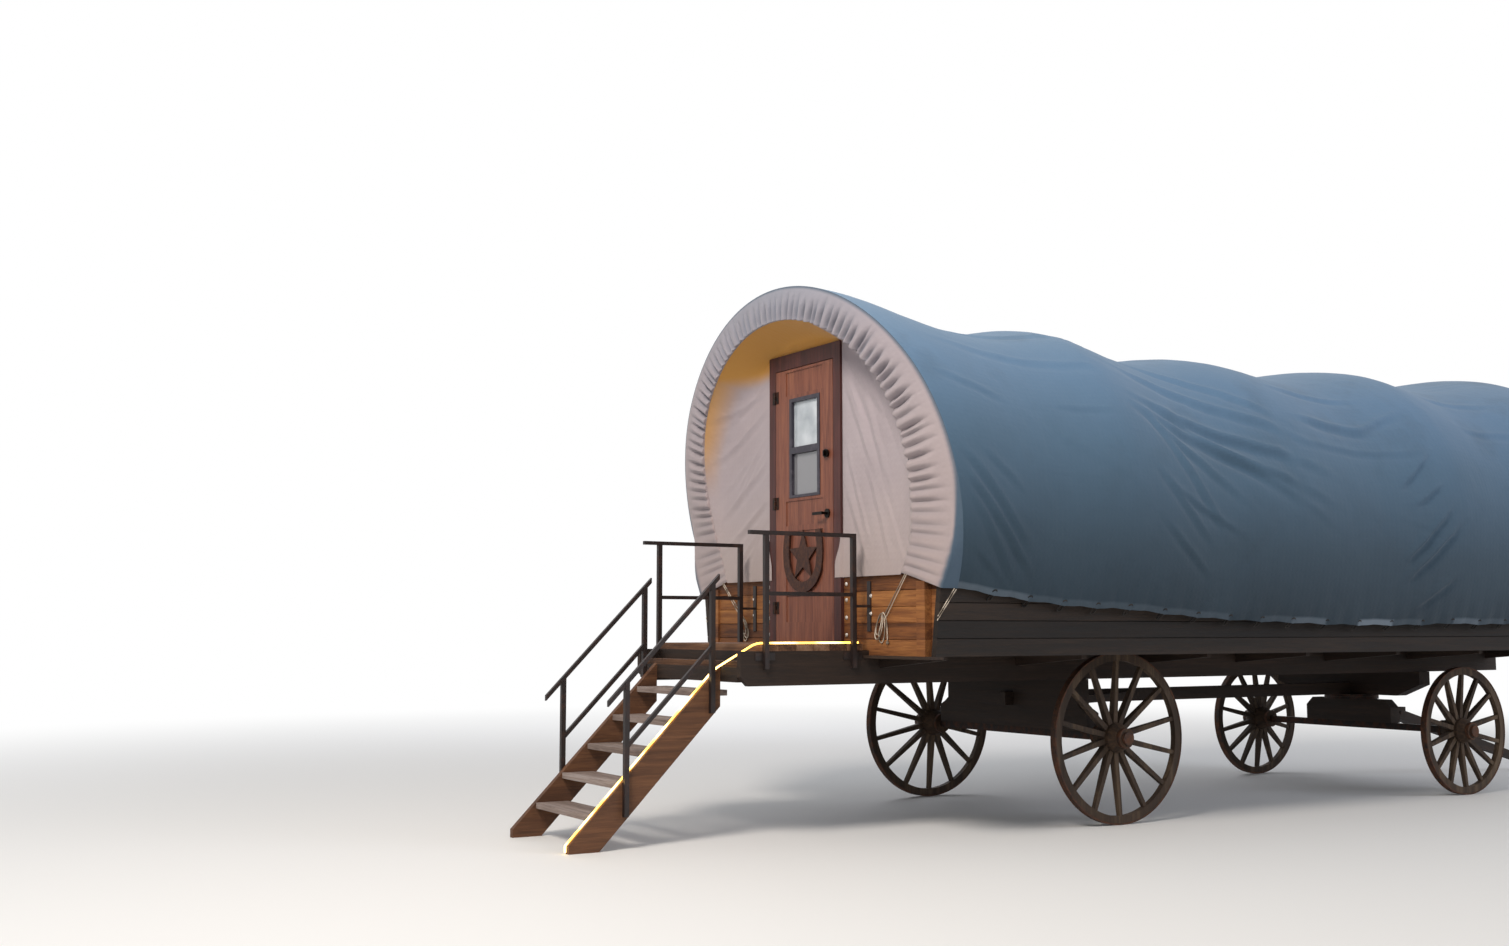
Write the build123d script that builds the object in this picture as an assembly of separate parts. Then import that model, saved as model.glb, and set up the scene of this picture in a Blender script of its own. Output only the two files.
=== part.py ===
"""Covered wagon fitted as a cabin, with a canvas cover on bows, a door, a porch and a flight of steps.

Lengths are in millimetres. While the pieces are drawn, X is 0 at the outer face of the door frame and
runs to the draw end, Y is 0 on the centre line with the left side positive, and Z is 0 on the ground.
"""
from build123d import *
import math
import os

# Running gear
REAR_WHEEL_RADIUS = 609.0
FRONT_WHEEL_RADIUS = 530.0
REAR_AXLE_X = 1940.0
FRONT_AXLE_X = 5875.0
HALF_TRACK = 1114.0
SPOKE_COUNT = 14
DISH = 45.0
TYRE_WIDTH = 52.0
TYRE_THICKNESS = 10.0
FELLOE_DEPTH = 52.0
FELLOE_WIDTH = 46.0
HUB_RADIUS = 105.0
HUB_INNER = 155.0
HUB_OUTER = 135.0
SPINDLE_RADIUS = 28.0
RUNNING_GAP = 0.08
AXLE_BAR = 56.0
AXLE_HALF_BAR = 905.0
AXLE_BED_WIDTH = 120.0

# Chassis and box
BEAM_BOTTOM = 1013.0
BEAM_TOP = 1238.0
BEAM_OUTER_Y = 738.0
BEAM_THICKNESS = 45.0
BEAM_START_X = -960.0
FLOOR_TOP = 1283.0
BOX_LENGTH = 6950.0
BOX_BOTTOM = 1205.0
GATE_TOP = 1745.0
GATE_HALF_WIDTH = 1390.0
PLANK_FACE_X = 45.0
PLANK_THICKNESS = 40.0
PLANK_COUNT = 5
GROOVE = 7.0
BATTEN_THICKNESS = 18.0
BATTEN_Y = 600.0
BATTEN_TOP = 1690.0
SIDE_TOP = 1780.0
SIDE_THICKNESS = 45.0
SIDE_BOTTOM_Y = 1480.0
SIDE_TOP_Y = 1560.0
SIDE_INSET = 42.0
JOIST_ROWS = (160.0, 1350.0, 2550.0, 3600.0, 4650.0, 5700.0, 6790.0)

# Cover
CANVAS = 10.0
END_LEAN = 11.0
END_FOOT_X = 150.0
BOW_GAP = 7.0
END_BOW_GAP = 42.0
BOW_THICKNESS = 12.0
BOW_WIDTH = 50.0
BOW_SETBACK = 30.0
BOW_FOOT_LIFT = 20.0

SHOULDER_SHARE = 0.766
THROAT_ADVANCE = 66.0
THROAT_DROP = 240.0
THROAT_DRAW = 434.0
THROAT_LIFT = 156.0
THROAT_FOOT_Y = 1142.0
THROAT_FOOT = 1749.0
BAND_SLANT = 56.0
COVE_LAP = 20.0
WALL_FOOT_X = 72.0
WALL_LEAN = 1.8
WALL_HALF_WIDTH = 1210.0
WALL_CROWN_DROP = 315.0
WALL_SPRING = 2400.0

# Door and its frame
FRAME_HALF_WIDTH = 472.5
FRAME_TOP = 3403.0
FRAME_DEPTH = 100.0
DOORWAY_HALF_WIDTH = 385.0
DOORWAY_TOP = 3291.0
LEAF_HALF_WIDTH = 380.0
LEAF_BOTTOM = 1290.0
LEAF_TOP = 3285.0
LEAF_THICKNESS = 44.0
HINGE_Y = 382.5
HINGE_X = -9.0
HINGE_LENGTH = 90.0
HINGE_HEIGHTS = (1535.0, 2305.0, 3095.0)
KNUCKLE_RADIUS = 8.0
WINDOW_Y = -14.0
WINDOW_HALF_WIDTH = 203.0
WINDOW_BOTTOM = 2332.0
WINDOW_TOP = 3065.0
SASH_HALF_WIDTH = 170.0
SASHES = ((2352.0, 2655.0), (2703.0, 3037.0))
PANEL_SINK = 7.0
PANEL_LEFT_Y = 240.0
PANEL_RIGHT_Y = -250.0
PANELS = ((1430.0, 1620.0), (1640.0, 2090.0), (2130.0, 2310.0), (3092.0, 3265.0))
SHOE_Z = 1903.0
SHOE_RADIUS = 260.0
SHOE_WEB = 76.0
SHOE_HEEL = 184.0
SHOE_THICKNESS = 14.0
STAR_RADIUS = 190.0
STAR_WAIST = 0.42
LATCH_Y = -312.0
LEVER_Z = 2193.0
BOLT_Z = 2617.0

# Porch and steps
DECK_EDGE_X = -800.0
RISE = 190.0
GOING = 187.0
LANDING_Z = 1172.0
LANDING_EDGE_X = -930.0
TREAD_DEPTH = 235.0
TREAD_THICKNESS = 38.0
STEP_COUNT = 5
STRINGER_INNER_Y = 430.0
STRINGER_THICKNESS = 45.0
STRINGER_DROP = 264.0
STEP_FOOT_X = -2030.0
POST = 32.0
RAIL = 26.0
RAIL_HEIGHT = 739.0
MID_RAIL_Z = 1612.0
OUTER_POST_X = -777.0
INNER_POST_X = -89.0
BRACKET_Z = 1535.0
UPPER_POST_X = -1030.0
LOWER_POST_X = -1650.0
STAIR_RAIL_TOP = 1675.0
LOWER_RAIL_DROP = 405.0
DECK_BOARDS = 6
ROPE_RADIUS = 6.5

# Tongue
TONGUE_PIN_X = 6400.0
TONGUE_PIN_Z = 620.0
TONGUE_PIN_RADIUS = 16.0
TONGUE_EYE_REACH = 2260.0
TONGUE_EYE_RADIUS = 45.0
TONGUE_EYE_BORE = 16.0
TONGUE_EYE_THICKNESS = 30.0
TONGUE_EYE_DROP = 20.0

LEFT = 1
RIGHT = -1


def block(x0, x1, y0, y1, z0, z1):
    """A squared piece between two corners."""
    centre = Location(((x0 + x1) / 2, (y0 + y1) / 2, (z0 + z1) / 2))
    return centre * Box(abs(x1 - x0), abs(y1 - y0), abs(z1 - z0))


def pair(x0, x1, y0, y1, z0, z1):
    """Two squared pieces, one on each side of the centre line."""
    return [block(x0, x1, y0, y1, z0, z1), block(x0, x1, -y1, -y0, z0, z1)]


def along_x(outline, x0, x1):
    """An outline of (y, z) points drawn out along X."""
    plane = Plane(origin=(x0, 0, 0), x_dir=(0, 1, 0), z_dir=(1, 0, 0))
    return extrude(plane * make_face(Polyline(*outline, close=True)), amount=x1 - x0)


def along_y(outline, y0, y1):
    """An outline of (x, z) points drawn out along Y."""
    plane = Plane(origin=(0, y0, 0), x_dir=(1, 0, 0), z_dir=(0, -1, 0))
    return extrude(plane * make_face(Polyline(*outline, close=True)), amount=y0 - y1)


def mirrored(shape, plane):
    """The shape and its mirror image."""
    return [shape, shape.mirror(plane)]


# Wheels

def wheel(radius):
    """Felloes with spokes, hub and ironwork of a dished wheel that faces outboard along +Z."""
    rim_inner = radius - TYRE_THICKNESS - FELLOE_DEPTH
    felloe = Cylinder(radius - TYRE_THICKNESS, FELLOE_WIDTH) - Cylinder(rim_inner, FELLOE_WIDTH)
    felloe = Location((0, 0, DISH)) * felloe
    foot = Plane(origin=(HUB_RADIUS, 0, 0), x_dir=(0, 1, 0), z_dir=(1, 0, 0))
    tip = Plane(origin=(rim_inner + 4, 0, DISH), x_dir=(0, 1, 0), z_dir=(1, 0, 0))
    spoke = loft([foot * Rectangle(38, 56), tip * Rectangle(30, 32)])
    woodwork = felloe
    for turn in range(SPOKE_COUNT):
        woodwork += Rot(0, 0, (turn + 0.5) * 360 / SPOKE_COUNT) * spoke
    bore = SPINDLE_RADIUS + RUNNING_GAP
    hub_outline = [
        (bore, -HUB_INNER), (70, -HUB_INNER), (70, -HUB_INNER + 26), (80, -HUB_INNER + 32),
        (HUB_RADIUS, -50), (HUB_RADIUS, 50), (76, HUB_OUTER - 36), (64, HUB_OUTER - 30),
        (64, HUB_OUTER), (bore, HUB_OUTER),
    ]
    hub = revolve(Plane.XZ * make_face(Polyline(*hub_outline, close=True)), axis=Axis.Z)
    tyre = Cylinder(radius, TYRE_WIDTH) - Cylinder(radius - TYRE_THICKNESS, TYRE_WIDTH)
    bands = [
        Location((0, 0, DISH)) * tyre,
        Location((0, 0, -HUB_INNER + 13)) * (Cylinder(77, 26) - Cylinder(70, 26)),
        Location((0, 0, HUB_OUTER - 15)) * (Cylinder(71, 30) - Cylinder(64, 30)),
        Location((0, 0, HUB_OUTER + 11)) * Cylinder(46, 22),
    ]
    return {"wood": woodwork, "hub": hub, "iron": Compound(bands)}


def wheel_pieces(end, radius, axle_x):
    """The three nodes of each wheel of one axle, by name."""
    pieces = {}
    for side, name in ((LEFT, "left"), (RIGHT, "right")):
        place = Location((axle_x, side * (HALF_TRACK - DISH), radius), (-90 * side, 0, 0))
        for kind, shape in wheel(radius).items():
            pieces[f"wheel_{end}_{name}_{kind}"] = place * shape
    return pieces


def axle(axle_x, radius):
    """Square axle bar with a round spindle at each end."""
    bar = block(axle_x - AXLE_BAR / 2, axle_x + AXLE_BAR / 2, -AXLE_HALF_BAR, AXLE_HALF_BAR,
                radius - AXLE_BAR / 2, radius + AXLE_BAR / 2)
    spindle_end = HALF_TRACK - DISH + HUB_OUTER - 10
    spindle = Location((axle_x, 0, radius), (90, 0, 0)) * Cylinder(SPINDLE_RADIUS, 2 * spindle_end)
    return bar + spindle


# Chassis

REACH_REAR_X = REAR_AXLE_X - 140
REACH_FRONT_X = FRONT_AXLE_X - 70
TURNTABLE_Z = 780.0
KING_PIN_RADIUS = 20.0


def reach():
    """Pole that ties the two bolsters, with a pair of hounds that brace the rear one."""
    pole = along_y([(REACH_REAR_X, 800), (REACH_FRONT_X, 800), (REACH_FRONT_X, 900), (REACH_REAR_X, 900)], -50, 50)
    front = REAR_AXLE_X + 1250
    back = REAR_AXLE_X + AXLE_BED_WIDTH / 2
    hound = [(back, 440), (back, 520), (front, 50), (front - 150, 50)]
    plane = Plane(origin=(0, 0, 815))
    brace = extrude(plane * make_face(Polyline(*hound, close=True)), amount=60)
    for piece in mirrored(brace, Plane.XZ):
        pole += piece
    return pole


def rear_bolster():
    """Timber bed over the rear axle bar and the bolster on it, notched for the reach."""
    half = AXLE_BED_WIDTH / 2
    top_of_bar = REAR_WHEEL_RADIUS + AXLE_BAR / 2
    outline = [
        (-860, top_of_bar), (860, top_of_bar), (860, 770), (800, 800), (760, 830), (760, BEAM_BOTTOM),
        (-760, BEAM_BOTTOM), (-760, 830), (-800, 800), (-860, 770),
    ]
    timber = along_x(outline, REAR_AXLE_X - half, REAR_AXLE_X + half)
    return timber - block(REAR_AXLE_X - 200, REAR_AXLE_X + 200, -50, 50, 800, 900)


def front_bolster():
    """Fixed front bolster with the upper plate of the turntable and the king pin under it."""
    outline = [(-520, 800), (520, 800), (760, 900), (760, BEAM_BOTTOM), (-760, BEAM_BOTTOM), (-760, 900)]
    return along_x(outline, FRONT_AXLE_X - 70, FRONT_AXLE_X + 70)


def turntable_top():
    """Upper turntable plate and the king pin."""
    plate = Location((FRONT_AXLE_X, 0, TURNTABLE_Z + 10)) * Cylinder(230, 20)
    pin = Location((FRONT_AXLE_X, 0, TURNTABLE_Z - 85)) * Cylinder(KING_PIN_RADIUS, 170)
    return plate + pin


def front_axle_bed():
    """Short timber bed over the front axle bar with the lower plate and the two hounds of the tongue."""
    top_of_bar = FRONT_WHEEL_RADIUS + AXLE_BAR / 2
    half = AXLE_BED_WIDTH / 2
    outline = [(-450, top_of_bar), (450, top_of_bar), (450, 690), (380, 758), (-380, 758), (-450, 690)]
    bed = along_x(outline, FRONT_AXLE_X - half, FRONT_AXLE_X + half)
    front = TONGUE_PIN_X + 70
    for piece in pair(FRONT_AXLE_X + half, front, 66, 116, TONGUE_PIN_Z - 50, TONGUE_PIN_Z + 50):
        bed += piece
    king_bore = Location((FRONT_AXLE_X, 0, TURNTABLE_Z - 85)) * Cylinder(KING_PIN_RADIUS + RUNNING_GAP, 180)
    pin_hole = Location((TONGUE_PIN_X, 0, TONGUE_PIN_Z), (90, 0, 0)) * Cylinder(TONGUE_PIN_RADIUS, 300)
    return bed - king_bore - pin_hole


def turntable_bottom():
    """Lower turntable plate, bored for the king pin."""
    plate = Location((FRONT_AXLE_X, 0, 768.5)) * Cylinder(230, 21)
    return plate - Location((FRONT_AXLE_X, 0, 768.5)) * Cylinder(KING_PIN_RADIUS + RUNNING_GAP, 21)


def tongue_pieces():
    """Tapered pole and its eye iron, lowered about the pin until the eye lies on the ground."""
    eye_low = TONGUE_EYE_DROP + TONGUE_EYE_THICKNESS / 2
    eye_far = TONGUE_EYE_REACH + TONGUE_EYE_RADIUS
    slope = math.asin(TONGUE_PIN_Z / math.hypot(eye_far, eye_low)) - math.atan2(eye_low, eye_far)
    place = Location((TONGUE_PIN_X, 0, TONGUE_PIN_Z), (0, math.degrees(slope), 0))
    root = Plane(origin=(-45, 0, 0), x_dir=(0, 1, 0), z_dir=(1, 0, 0))
    middle = root.offset(1200)
    tip = root.offset(2175)
    pole = loft([root * Rectangle(120, 90), middle * Rectangle(104, 84), tip * Rectangle(70, 66)], ruled=True)
    pin = Location((0, 0, 0), (90, 0, 0)) * Cylinder(TONGUE_PIN_RADIUS, 250)
    pole -= Location((0, 0, 0), (90, 0, 0)) * Cylinder(TONGUE_PIN_RADIUS + RUNNING_GAP, 150)
    strap = block(2130, TONGUE_EYE_REACH - 20, -35, 35, -TONGUE_EYE_DROP - 15, -TONGUE_EYE_DROP + 15)
    eye = Location((TONGUE_EYE_REACH, 0, -TONGUE_EYE_DROP)) * Cylinder(TONGUE_EYE_RADIUS, TONGUE_EYE_THICKNESS)
    iron = strap + eye
    iron -= Location((TONGUE_EYE_REACH, 0, -TONGUE_EYE_DROP)) * Cylinder(TONGUE_EYE_BORE, 60)
    return {"tongue_pole": place * (pole - strap), "tongue_eye": place * iron, "tongue_pin": place * pin}


def chassis_beams():
    """Two long planks on edge that also carry the porch."""
    inner = BEAM_OUTER_Y - BEAM_THICKNESS
    nose = [(BEAM_START_X, BEAM_BOTTOM + 60), (BEAM_START_X + 60, BEAM_BOTTOM), (BOX_LENGTH - 30, BEAM_BOTTOM),
            (BOX_LENGTH - 30, BEAM_TOP), (BEAM_START_X, BEAM_TOP)]
    beam = along_y(nose, inner, BEAM_OUTER_Y)
    return Compound(mirrored(beam, Plane.XZ))


def floor_joists():
    """Cross joists between the beams and tapered outriggers that carry the edges of the box."""
    pieces = []
    outrigger = [(BEAM_OUTER_Y, 1120), (1425, 1180), (1425, BEAM_TOP), (BEAM_OUTER_Y, BEAM_TOP)]
    inner = BEAM_OUTER_Y - BEAM_THICKNESS
    for row_x in JOIST_ROWS:
        pieces.append(block(row_x - 22, row_x + 22, -inner, inner, 1098, BEAM_TOP))
        pieces += mirrored(along_x(outrigger, row_x - 22, row_x + 22), Plane.XZ)
    return Compound(pieces)


# Box

def plank_edges(bottom, top, count, face, depth):
    """Points up a boarded face, with a groove where two boards meet."""
    pitch = (top - bottom) / count
    points = [(face, bottom)]
    for joint in range(1, count):
        height = bottom + joint * pitch
        points += [(face, height - GROOVE / 2), (face + depth, height), (face, height + GROOVE / 2)]
    return points + [(face, top)]


def floor():
    """Floor of the box, with a threshold that reaches out under the door."""
    boards = block(PLANK_FACE_X + PLANK_THICKNESS, BOX_LENGTH - PLANK_FACE_X - PLANK_THICKNESS,
                   -1430, 1430, BEAM_TOP, FLOOR_TOP)
    return boards + block(0, PLANK_FACE_X + PLANK_THICKNESS, -FRAME_HALF_WIDTH, FRAME_HALF_WIDTH, BEAM_TOP, FLOOR_TOP)


def side_y(height):
    """Outer face of the flared side at a height."""
    return SIDE_BOTTOM_Y + (SIDE_TOP_Y - SIDE_BOTTOM_Y) * (height - BOX_BOTTOM) / (SIDE_TOP - BOX_BOTTOM)


def side_board():
    """Left side of the box: five boards that flare outwards."""
    outer = []
    for offset, height in plank_edges(BOX_BOTTOM, SIDE_TOP, PLANK_COUNT, 0, GROOVE):
        outer.append((side_y(height) - offset, height))
    inner = [(side_y(SIDE_TOP) - SIDE_THICKNESS, SIDE_TOP), (side_y(BOX_BOTTOM) - SIDE_THICKNESS, BOX_BOTTOM)]
    return along_x(outer + inner, SIDE_INSET, BOX_LENGTH - SIDE_INSET)


def gate(inner_y):
    """Boarded half of an end gate with its corner board and corner post."""
    face = plank_edges(BOX_BOTTOM, GATE_TOP, PLANK_COUNT, PLANK_FACE_X, GROOVE)
    back = PLANK_FACE_X + PLANK_THICKNESS
    boards = along_y(face + [(back, GATE_TOP), (back, BOX_BOTTOM)], inner_y, GATE_HALF_WIDTH)
    boards += block(PLANK_FACE_X - BATTEN_THICKNESS, PLANK_FACE_X, GATE_HALF_WIDTH - 90, GATE_HALF_WIDTH,
                    BOX_BOTTOM, BATTEN_TOP)
    gap = SIDE_THICKNESS + 2
    post = [(GATE_HALF_WIDTH - 70, FLOOR_TOP), (side_y(FLOOR_TOP) - gap, FLOOR_TOP),
            (side_y(GATE_TOP) - gap, GATE_TOP), (GATE_HALF_WIDTH - 70, GATE_TOP)]
    boards += along_x(post, back, back + 45)
    beam = block(-10, 200, BEAM_OUTER_Y - BEAM_THICKNESS - 2, BEAM_OUTER_Y + 2, BEAM_BOTTOM, BEAM_TOP)
    return boards - beam


def sill():
    """Weathered sill boards under the door-end gate."""
    return Compound(pair(0, 110, BEAM_OUTER_Y, SIDE_BOTTOM_Y, BOX_BOTTOM - 20, BOX_BOTTOM))


# Cover. Columns: foot x, lean in degrees, crown height, half width, spring height, hem height, hem half width
SECTIONS = (
    (END_FOOT_X, END_LEAN, 3815, 1767, 2300, 1640, 1573),
    (877, 0, 3580, 1728, 2200, 1545, 1590),
    (1605, 0, 3662, 1760, 2250, 1508, 1605),
    (2414, 0, 3505, 1722, 2140, 1450, 1600),
    (3224, 0, 3583, 1755, 2190, 1420, 1610),
    (4155, 0, 3504, 1722, 2140, 1403, 1600),
    (5085, 0, 3643, 1758, 2240, 1418, 1605),
    (5943, 0, 3548, 1728, 2180, 1424, 1590),
    (BOX_LENGTH - END_FOOT_X, -END_LEAN, 3745, 1767, 2300, 1500, 1573),
)


class Arch:
    """Five-centred arch across the wagon: a crown, two shoulders and two sides that draw in to the foot."""

    def __init__(self, foot_x, lean, crown, half_width, spring, foot, foot_half_width, datum=None):
        self.lean = math.radians(lean)
        self.datum = foot if datum is None else datum
        normal = (math.cos(self.lean), 0, math.sin(self.lean))
        self.plane = Plane(origin=(foot_x, 0, self.datum), x_dir=(0, 1, 0), z_dir=normal)
        self.half_width = half_width
        self.crown_v, self.spring_v, self.foot_v = self.up(crown), self.up(spring), self.up(foot)
        self.shoulder = SHOULDER_SHARE * half_width
        rise = self.crown_v - self.spring_v
        reach = half_width - self.shoulder
        self.crown_radius = (reach ** 2 + rise ** 2 - self.shoulder ** 2) / (2 * (rise - self.shoulder))
        self.climb = math.pi / 2 - math.atan2(reach, self.crown_radius - rise)
        drawn_in = half_width - foot_half_width
        drop = self.spring_v - self.foot_v
        self.side = (drawn_in ** 2 + drop ** 2) / (2 * drawn_in)

    def up(self, height):
        """Distance up the arch's own plane of a point at a height."""
        return (height - self.datum) / math.cos(self.lean)

    def on_side(self, inset, angle):
        """Point of the side arc, an angle below the spring line."""
        radius = self.side - inset
        return (self.half_width - self.side + radius * math.cos(angle), self.spring_v - radius * math.sin(angle))

    def on_shoulder(self, inset, angle):
        """Point of the shoulder arc, an angle above the spring line."""
        radius = self.shoulder - inset
        return (self.half_width - self.shoulder + radius * math.cos(angle), self.spring_v + radius * math.sin(angle))

    def edges(self, inset=0.0, lift=0.0):
        """The five arcs from the left foot over the crown to the right foot, set in, with the feet lifted."""
        dip = math.asin((self.spring_v - self.foot_v - lift) / (self.side - inset))
        foot, low, spring = [self.on_side(inset, angle) for angle in (dip, dip / 2, 0)]
        high, join = [self.on_shoulder(inset, angle) for angle in (self.climb / 2, self.climb)]
        top = (0, self.crown_v - inset)
        halves = []
        for sign in (1, -1):
            halves.append([(sign * y, v) for y, v in (foot, low, spring, high, join)])
        left, right = halves
        return [
            ThreePointArc(left[0], left[1], left[2]), ThreePointArc(left[2], left[3], left[4]),
            ThreePointArc(left[4], top, right[4]),
            ThreePointArc(right[4], right[3], right[2]), ThreePointArc(right[2], right[1], right[0]),
        ]

    def between(self, outer, inner):
        """Closed section between two runs of arcs."""
        ends = [Line(outer[0] @ 0, inner[0] @ 0), Line(outer[-1] @ 1, inner[-1] @ 1)]
        return self.plane * make_face(Curve() + outer + inner + ends)

    def shell(self, inset, thickness, lift=0.0):
        """Closed section of a skin of a thickness, set in from the arch."""
        return self.between(self.edges(inset, lift), self.edges(inset + thickness, lift))


def cover():
    """Canvas cover: a thin tunnel that is high on the bows and sags between them."""
    return loft([Arch(*section).shell(0, CANVAS) for section in SECTIONS], ruled=True)


def bows():
    """Five bent slats under the cover."""
    slats = []
    for section in SECTIONS[::2]:
        lean = section[1]
        arch = Arch(*section)
        gap = END_BOW_GAP if lean else BOW_GAP
        lift = arch.up(SIDE_TOP + 2) - arch.foot_v if lean else BOW_FOOT_LIFT
        face = arch.shell(CANVAS + gap, BOW_THICKNESS, lift)
        inboard = (lean > 0) - (lean < 0)
        start = -BOW_WIDTH / 2 + inboard * (BOW_SETBACK + BOW_WIDTH / 2)
        normal = arch.plane.z_dir
        slats.append(extrude(face.moved(Location(normal * start)), amount=BOW_WIDTH, dir=normal))
    return Compound(slats)


def wall_arch(crown):
    """Arch round the upright canvas wall of an end, in the plane of its outer face."""
    return Arch(WALL_FOOT_X, WALL_LEAN, crown - WALL_CROWN_DROP, WALL_HALF_WIDTH, WALL_SPRING,
                THROAT_FOOT, THROAT_FOOT_Y)


def end_band(crown, half_width, spring, foot, foot_half_width):
    """Gathered end of the cover, drawn in and forward to the throat, with the cove back to the wall."""
    rim = Arch(END_FOOT_X, END_LEAN, crown, half_width, spring, foot, foot_half_width)
    throat_x = END_FOOT_X - THROAT_ADVANCE / math.cos(rim.lean)
    throat = Arch(throat_x, END_LEAN, crown - THROAT_DROP, half_width - THROAT_DRAW, spring + THROAT_LIFT,
                  THROAT_FOOT, THROAT_FOOT_Y, datum=foot)
    band = loft([rim.shell(0, BAND_SLANT), throat.shell(-BAND_SLANT, BAND_SLANT)], ruled=True)
    wall = wall_arch(crown)
    band += loft([throat.shell(-COVE_LAP, COVE_LAP + CANVAS), wall.shell(0, CANVAS)], ruled=True)
    side = side_y(GATE_TOP) - SIDE_THICKNESS - 5
    for piece in pair(-100, 400, side, side + 150, foot - 50, SIDE_TOP + 3):
        band -= piece
    for piece in pair(-100, 400, THROAT_FOOT_Y - 200, side, foot - 50, THROAT_FOOT - 1):
        band -= piece
    return band


def end_canvas(crown):
    """Upright canvas wall that closes the end of the cover above the gate."""
    arch = wall_arch(crown)
    edges = arch.edges()
    outline = edges + [Line(edges[0] @ 0, edges[-1] @ 1)]
    return extrude(arch.plane * make_face(Curve() + outline), amount=CANVAS)


# Door

def door_frame():
    """Jambs and head of the doorway, with a stop behind the leaf."""
    outer = [(-FRAME_HALF_WIDTH, FLOOR_TOP), (-FRAME_HALF_WIDTH, FRAME_TOP), (FRAME_HALF_WIDTH, FRAME_TOP),
             (FRAME_HALF_WIDTH, FLOOR_TOP)]

    def opening(half, top):
        return [(half, FLOOR_TOP), (half, top), (-half, top), (-half, FLOOR_TOP)]

    frame = along_x(outer + opening(DOORWAY_HALF_WIDTH, DOORWAY_TOP), 0, FRAME_DEPTH)
    stop_start = LEAF_THICKNESS + 8
    stop = along_x(
        [(-DOORWAY_HALF_WIDTH, FLOOR_TOP), (-DOORWAY_HALF_WIDTH, DOORWAY_TOP), (DOORWAY_HALF_WIDTH, DOORWAY_TOP),
         (DOORWAY_HALF_WIDTH, FLOOR_TOP)] + opening(DOORWAY_HALF_WIDTH - 12, DOORWAY_TOP - 12),
        stop_start, FRAME_DEPTH)
    return frame + stop


def leaf():
    """Door leaf with a cut window and sunk panels between its stiles and rails."""
    slab = block(0, LEAF_THICKNESS, -LEAF_HALF_WIDTH, LEAF_HALF_WIDTH, LEAF_BOTTOM, LEAF_TOP)
    slab -= block(-1, LEAF_THICKNESS + 1, WINDOW_Y - WINDOW_HALF_WIDTH, WINDOW_Y + WINDOW_HALF_WIDTH,
                  WINDOW_BOTTOM, WINDOW_TOP)
    for bottom, top in PANELS:
        slab -= block(-1, PANEL_SINK, PANEL_RIGHT_Y, PANEL_LEFT_Y, bottom, top)
        slab -= block(LEAF_THICKNESS - PANEL_SINK, LEAF_THICKNESS + 1, PANEL_RIGHT_Y, PANEL_LEFT_Y, bottom, top)
    return slab


def window_frame():
    """Metal window frame with a bar between its two sashes, lapped over both faces of the leaf."""
    right, left = WINDOW_Y - WINDOW_HALF_WIDTH, WINDOW_Y + WINDOW_HALF_WIDTH
    frame = block(PANEL_SINK, LEAF_THICKNESS - PANEL_SINK, right, left, WINDOW_BOTTOM, WINDOW_TOP)
    for x0, x1 in ((-5, PANEL_SINK), (LEAF_THICKNESS - PANEL_SINK, LEAF_THICKNESS + 5)):
        frame += block(x0, x1, right + 1, left - 1, WINDOW_BOTTOM + 1, WINDOW_TOP - 1)
    for low, high in SASHES:
        frame -= block(-10, LEAF_THICKNESS + 10, WINDOW_Y - SASH_HALF_WIDTH, WINDOW_Y + SASH_HALF_WIDTH, low, high)
    return frame


def glass():
    """Panes of the two sashes."""
    right, left = WINDOW_Y - SASH_HALF_WIDTH, WINDOW_Y + SASH_HALF_WIDTH
    return Compound([block(20, 26, right, left, low, high) for low, high in SASHES])


def horseshoe():
    """Horseshoe with its ends up and a five-pointed star in it, laid over the lower panel on to the stiles."""
    back = Plane(origin=(0, 0, SHOE_Z), x_dir=(0, -1, 0), z_dir=(-1, 0, 0))
    ring = []
    for radius in (SHOE_RADIUS, SHOE_RADIUS - SHOE_WEB):
        heel, turn, low, waist = radius * 0.9, radius * 0.92, -radius * 0.4, radius * 0.17
        ring.append([
            ThreePointArc((-heel, SHOE_HEEL), (-radius, waist), (-turn, low)),
            ThreePointArc((-turn, low), (0, -radius), (turn, low)),
            ThreePointArc((turn, low), (radius, waist), (heel, SHOE_HEEL)),
        ])
    outer, inner = ring
    ends = [Line(outer[0] @ 0, inner[0] @ 0), Line(outer[-1] @ 1, inner[-1] @ 1)]
    shoe = extrude(back * make_face(Curve() + outer + inner + ends), amount=SHOE_THICKNESS)
    points = []
    for corner in range(10):
        reach = STAR_RADIUS if corner % 2 == 0 else STAR_RADIUS * STAR_WAIST
        angle = math.pi / 2 + corner * math.pi / 5
        points.append((reach * math.cos(angle), reach * math.sin(angle)))
    star = extrude(back * make_face(Polyline(*points, close=True)), amount=SHOE_THICKNESS * 0.8)
    return shoe + star


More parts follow.
